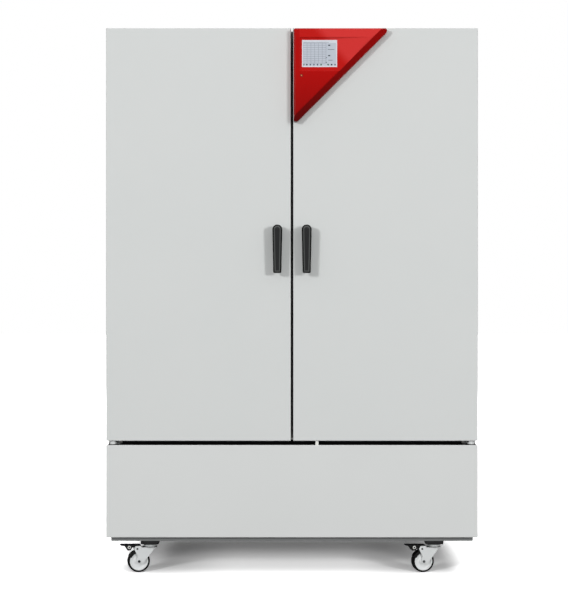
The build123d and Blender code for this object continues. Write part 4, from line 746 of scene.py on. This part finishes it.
def make_casters(finish):
    """Hardware on the casters: race beads, black rings that stand for the shade in the swivel
    gap, and axle nuts.

    The front pair also have pin rivets, black sheets of painted shade inside the cheeks, pedal
    washers and pedal screws.
    """
    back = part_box("side_panel_left")[1].y
    trail = Vector((-math.cos(CASTER_YAW), -math.sin(CASTER_YAW), 0))
    across = Vector((math.sin(CASTER_YAW), -math.cos(CASTER_YAW), 0))
    inset, up = SWIVEL_INSET * MM, (0, 0, 1)
    for place in CASTERS:
        braked = place.startswith("front")
        x = SWIVEL_ASIDE * MM * (-1 if place.endswith("left") else 1)
        foot = Vector((x, front_plane + inset if braked else back - inset, 0))

        def spot(along, height, aside):
            return foot + (trail * along + across * aside + Vector((0, 0, height))) * MM

        bead, gap_ring, nuts, shade_sheets, washers, screws = [bmesh.new() for _ in range(6)]
        turned(bead, RACE_BEAD, foot, up, 56)
        # A black ring in the gap between race and fork: painted shade for that gap
        turned(gap_ring, SWIVEL_GAP_RING, foot, up, 56)
        for hand in (-1, 1):
            side = across * hand
            axle = spot(CASTER_TRAIL, AXLE_HEIGHT, hand * CHEEK_FACE)
            turned(nuts, ACORN_NUT, axle, side, 24)
            turned(nuts, NUT_HEXAGON, axle, side, 6)
            if braked:
                turned(nuts, PIN_RIVET, spot(*PEDAL_PIN, hand * CHEEK_FACE), side, 24)
                cheek_shade_sheet(shade_sheets, spot, hand)
                face = spot(*PEDAL_SCREW, hand * PEDAL_FACE)
                turned(washers, PEDAL_WASHER, face, side, 32)
                turned(screws, PEDAL_BUTTON, face, side, 24)
        fork, pedal = f"{place}_caster", f"{place}_pedal"
        parts = [
            ("race_bead", bead, "zinc", "cabinet", "zinc_plate"),
            ("swivel_gap_ring", gap_ring, "moulding", fork, "dark_moulding"),
            ("axle_nuts", nuts, "black_screw", fork, "zinc_plate"),
            # Black sheets inside the cheeks: painted shade on the wheel
            ("cheek_shade_sheets", shade_sheets, "moulding", fork, "dark_moulding"),
            ("pedal_washers", washers, "pale", pedal, "dark_moulding"),
            ("pedal_screws", screws, "black_screw", pedal, "dark_moulding"),
        ]
        for name, work, material, body, slot in parts:
            if len(work.verts):
                piece(f"{place}_{name}", work, finish[material], body)
            else:
                work.free()


def screw_tree(head, recess):
    """Pan-head screws on points, facing along a vector: a cone with a hexagon in its top."""
    tree = bpy.data.node_groups.new("screw_heads", "GeometryNodeTree")
    inputs = {
        "Places": "NodeSocketGeometry",
        "Head radius": "NodeSocketFloat",
        "Head height": "NodeSocketFloat",
        "Facing": "NodeSocketVector",
    }
    for name, kind in inputs.items():
        tree.interface.new_socket(name, in_out="INPUT", socket_type=kind)
    tree.interface.new_socket("Screws", in_out="OUTPUT", socket_type="NodeSocketGeometry")
    given = add(tree, "NodeGroupInput").outputs
    radius, height = given["Head radius"], given["Head height"]
    crown = compute(tree, "MULTIPLY", radius, HEAD_CROWN)
    cone = {"Vertices": 20, "Radius Bottom": radius, "Radius Top": crown, "Depth": height}
    cone = add(tree, "GeometryNodeMeshCone", cone)
    key = compute(tree, "MULTIPLY", radius, HEAD_KEY)
    deep = compute(tree, "MULTIPLY", height, KEY_DEPTH)
    hexagon = {"Vertices": 6, "Radius": key, "Depth": deep}
    hexagon = add(tree, "GeometryNodeMeshCylinder", hexagon).outputs["Mesh"]
    lift = add(tree, "ShaderNodeCombineXYZ", {"Z": compute(tree, "MULTIPLY", deep, 0.5)})
    hexagon = {"Geometry": hexagon, "Translation": lift.outputs[0]}
    hexagon = add(tree, "GeometryNodeTransform", hexagon).outputs[0]
    marked = {"Geometry": hexagon, "Name": "in_recess", "Value": True}
    kind = "GeometryNodeStoreNamedAttribute"
    marked = add(tree, kind, marked, data_type="BOOLEAN", domain="FACE").outputs[0]
    both = add(tree, "GeometryNodeJoinGeometry", {"Geometry": cone.outputs["Mesh"]})
    tree.links.new(marked, both.inputs["Geometry"])
    points = add(tree, "GeometryNodeMeshToPoints", {"Mesh": given["Places"]}).outputs[0]
    turn = {"Vector": given["Facing"]}
    turn = add(tree, "FunctionNodeAlignRotationToVector", turn, axis="Z").outputs[0]
    spread = {"Points": points, "Instance": both.outputs[0], "Rotation": turn}
    spread = add(tree, "GeometryNodeInstanceOnPoints", spread).outputs[0]
    real = add(tree, "GeometryNodeRealizeInstances", {"Geometry": spread}).outputs[0]
    plain = {"Geometry": real, "Material": head}
    plain = add(tree, "GeometryNodeSetMaterial", plain).outputs[0]
    # The raised hexagon takes the dark recess finish: painted shade for a key recess
    kind = "GeometryNodeInputNamedAttribute"
    chosen = add(tree, kind, {"Name": "in_recess"}, data_type="BOOLEAN").outputs[0]
    dark = {"Geometry": plain, "Selection": chosen, "Material": recess}
    dark = add(tree, "GeometryNodeSetMaterial", dark).outputs[0]
    add(tree, "NodeGroupOutput", {"Screws": dark})
    return tree


def grown(name, places, tree, values):
    """A tree run on points and baked to a plain mesh."""
    mesh = bpy.data.meshes.new(f"{name}_places")
    mesh.from_pydata(places, [], [])
    carrier = bpy.data.objects.new(f"{name}_carrier", mesh)
    bpy.context.collection.objects.link(carrier)
    modifier = carrier.modifiers.new("repeat", "NODES")
    modifier.node_group = tree
    for socket in tree.interface.items_tree:
        if socket.in_out == "INPUT" and socket.name in values:
            modifier[socket.identifier] = values[socket.name]
    scene_graph = bpy.context.evaluated_depsgraph_get()
    scene_graph.update()
    baked = bpy.data.meshes.new_from_object(carrier.evaluated_get(scene_graph))
    bpy.data.objects.remove(carrier)
    baked.name = name
    smooth(baked)
    return baked


def make_screws(finish):
    """Screws that hold the rear skin, the rear grille and the chamber's fan panel."""
    tree = screw_tree(finish["screw"], finish["socket"])
    inset = SCREW_INSET * MM
    low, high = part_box("rear_panel")
    aside, ends = high.x - inset, (low.z + inset, high.z - inset)
    rear = [(x, high.y, z) for x in (-aside, aside) for z in spaced(*ends, REAR_ROWS)]
    rear += [(x, high.y, z) for x in spaced(-aside, aside, REAR_COLUMNS)[1:-1] for z in ends]
    low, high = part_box("base_rear_grille")
    ends = (low.z + inset, high.z - inset)
    rear += [(x, high.y, z) for x in spaced(-aside, aside, GRILLE_COLUMNS) for z in ends]
    low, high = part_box("fan_panel")
    column = spaced(low.z + 3 * inset, high.z - 3 * inset, FAN_ROWS)
    fan = [(side * FAN_SCREW_ASIDE * MM, low.y, z) for side in (-1, 1) for z in column]
    for name, places, radius, height, facing, slot in (
        ("rear_screws", rear, FLUSH_RADIUS, FLUSH_HEIGHT, (0, 1, 0), "zinc_plate"),
        ("fan_panel_screws", fan, PROUD_RADIUS, PROUD_HEIGHT, (0, -1, 0), "stainless"),
    ):
        values = {"Head radius": radius * MM, "Head height": height * MM, "Facing": facing}
        piece(name, grown(name, places, tree, values), None, "cabinet")


def spaced(start, end, count):
    """Evenly spaced values from start to end, both included."""
    return [start + (end - start) * i / (count - 1) for i in range(count)]


finish = make_materials()
set_camera()
set_floor()
set_world()
set_lamps()
dress_cad(finish)
make_display(finish)
make_status_lamp(finish)
make_sill_shade_upstand(finish)
make_casters(finish)
make_screws(finish)
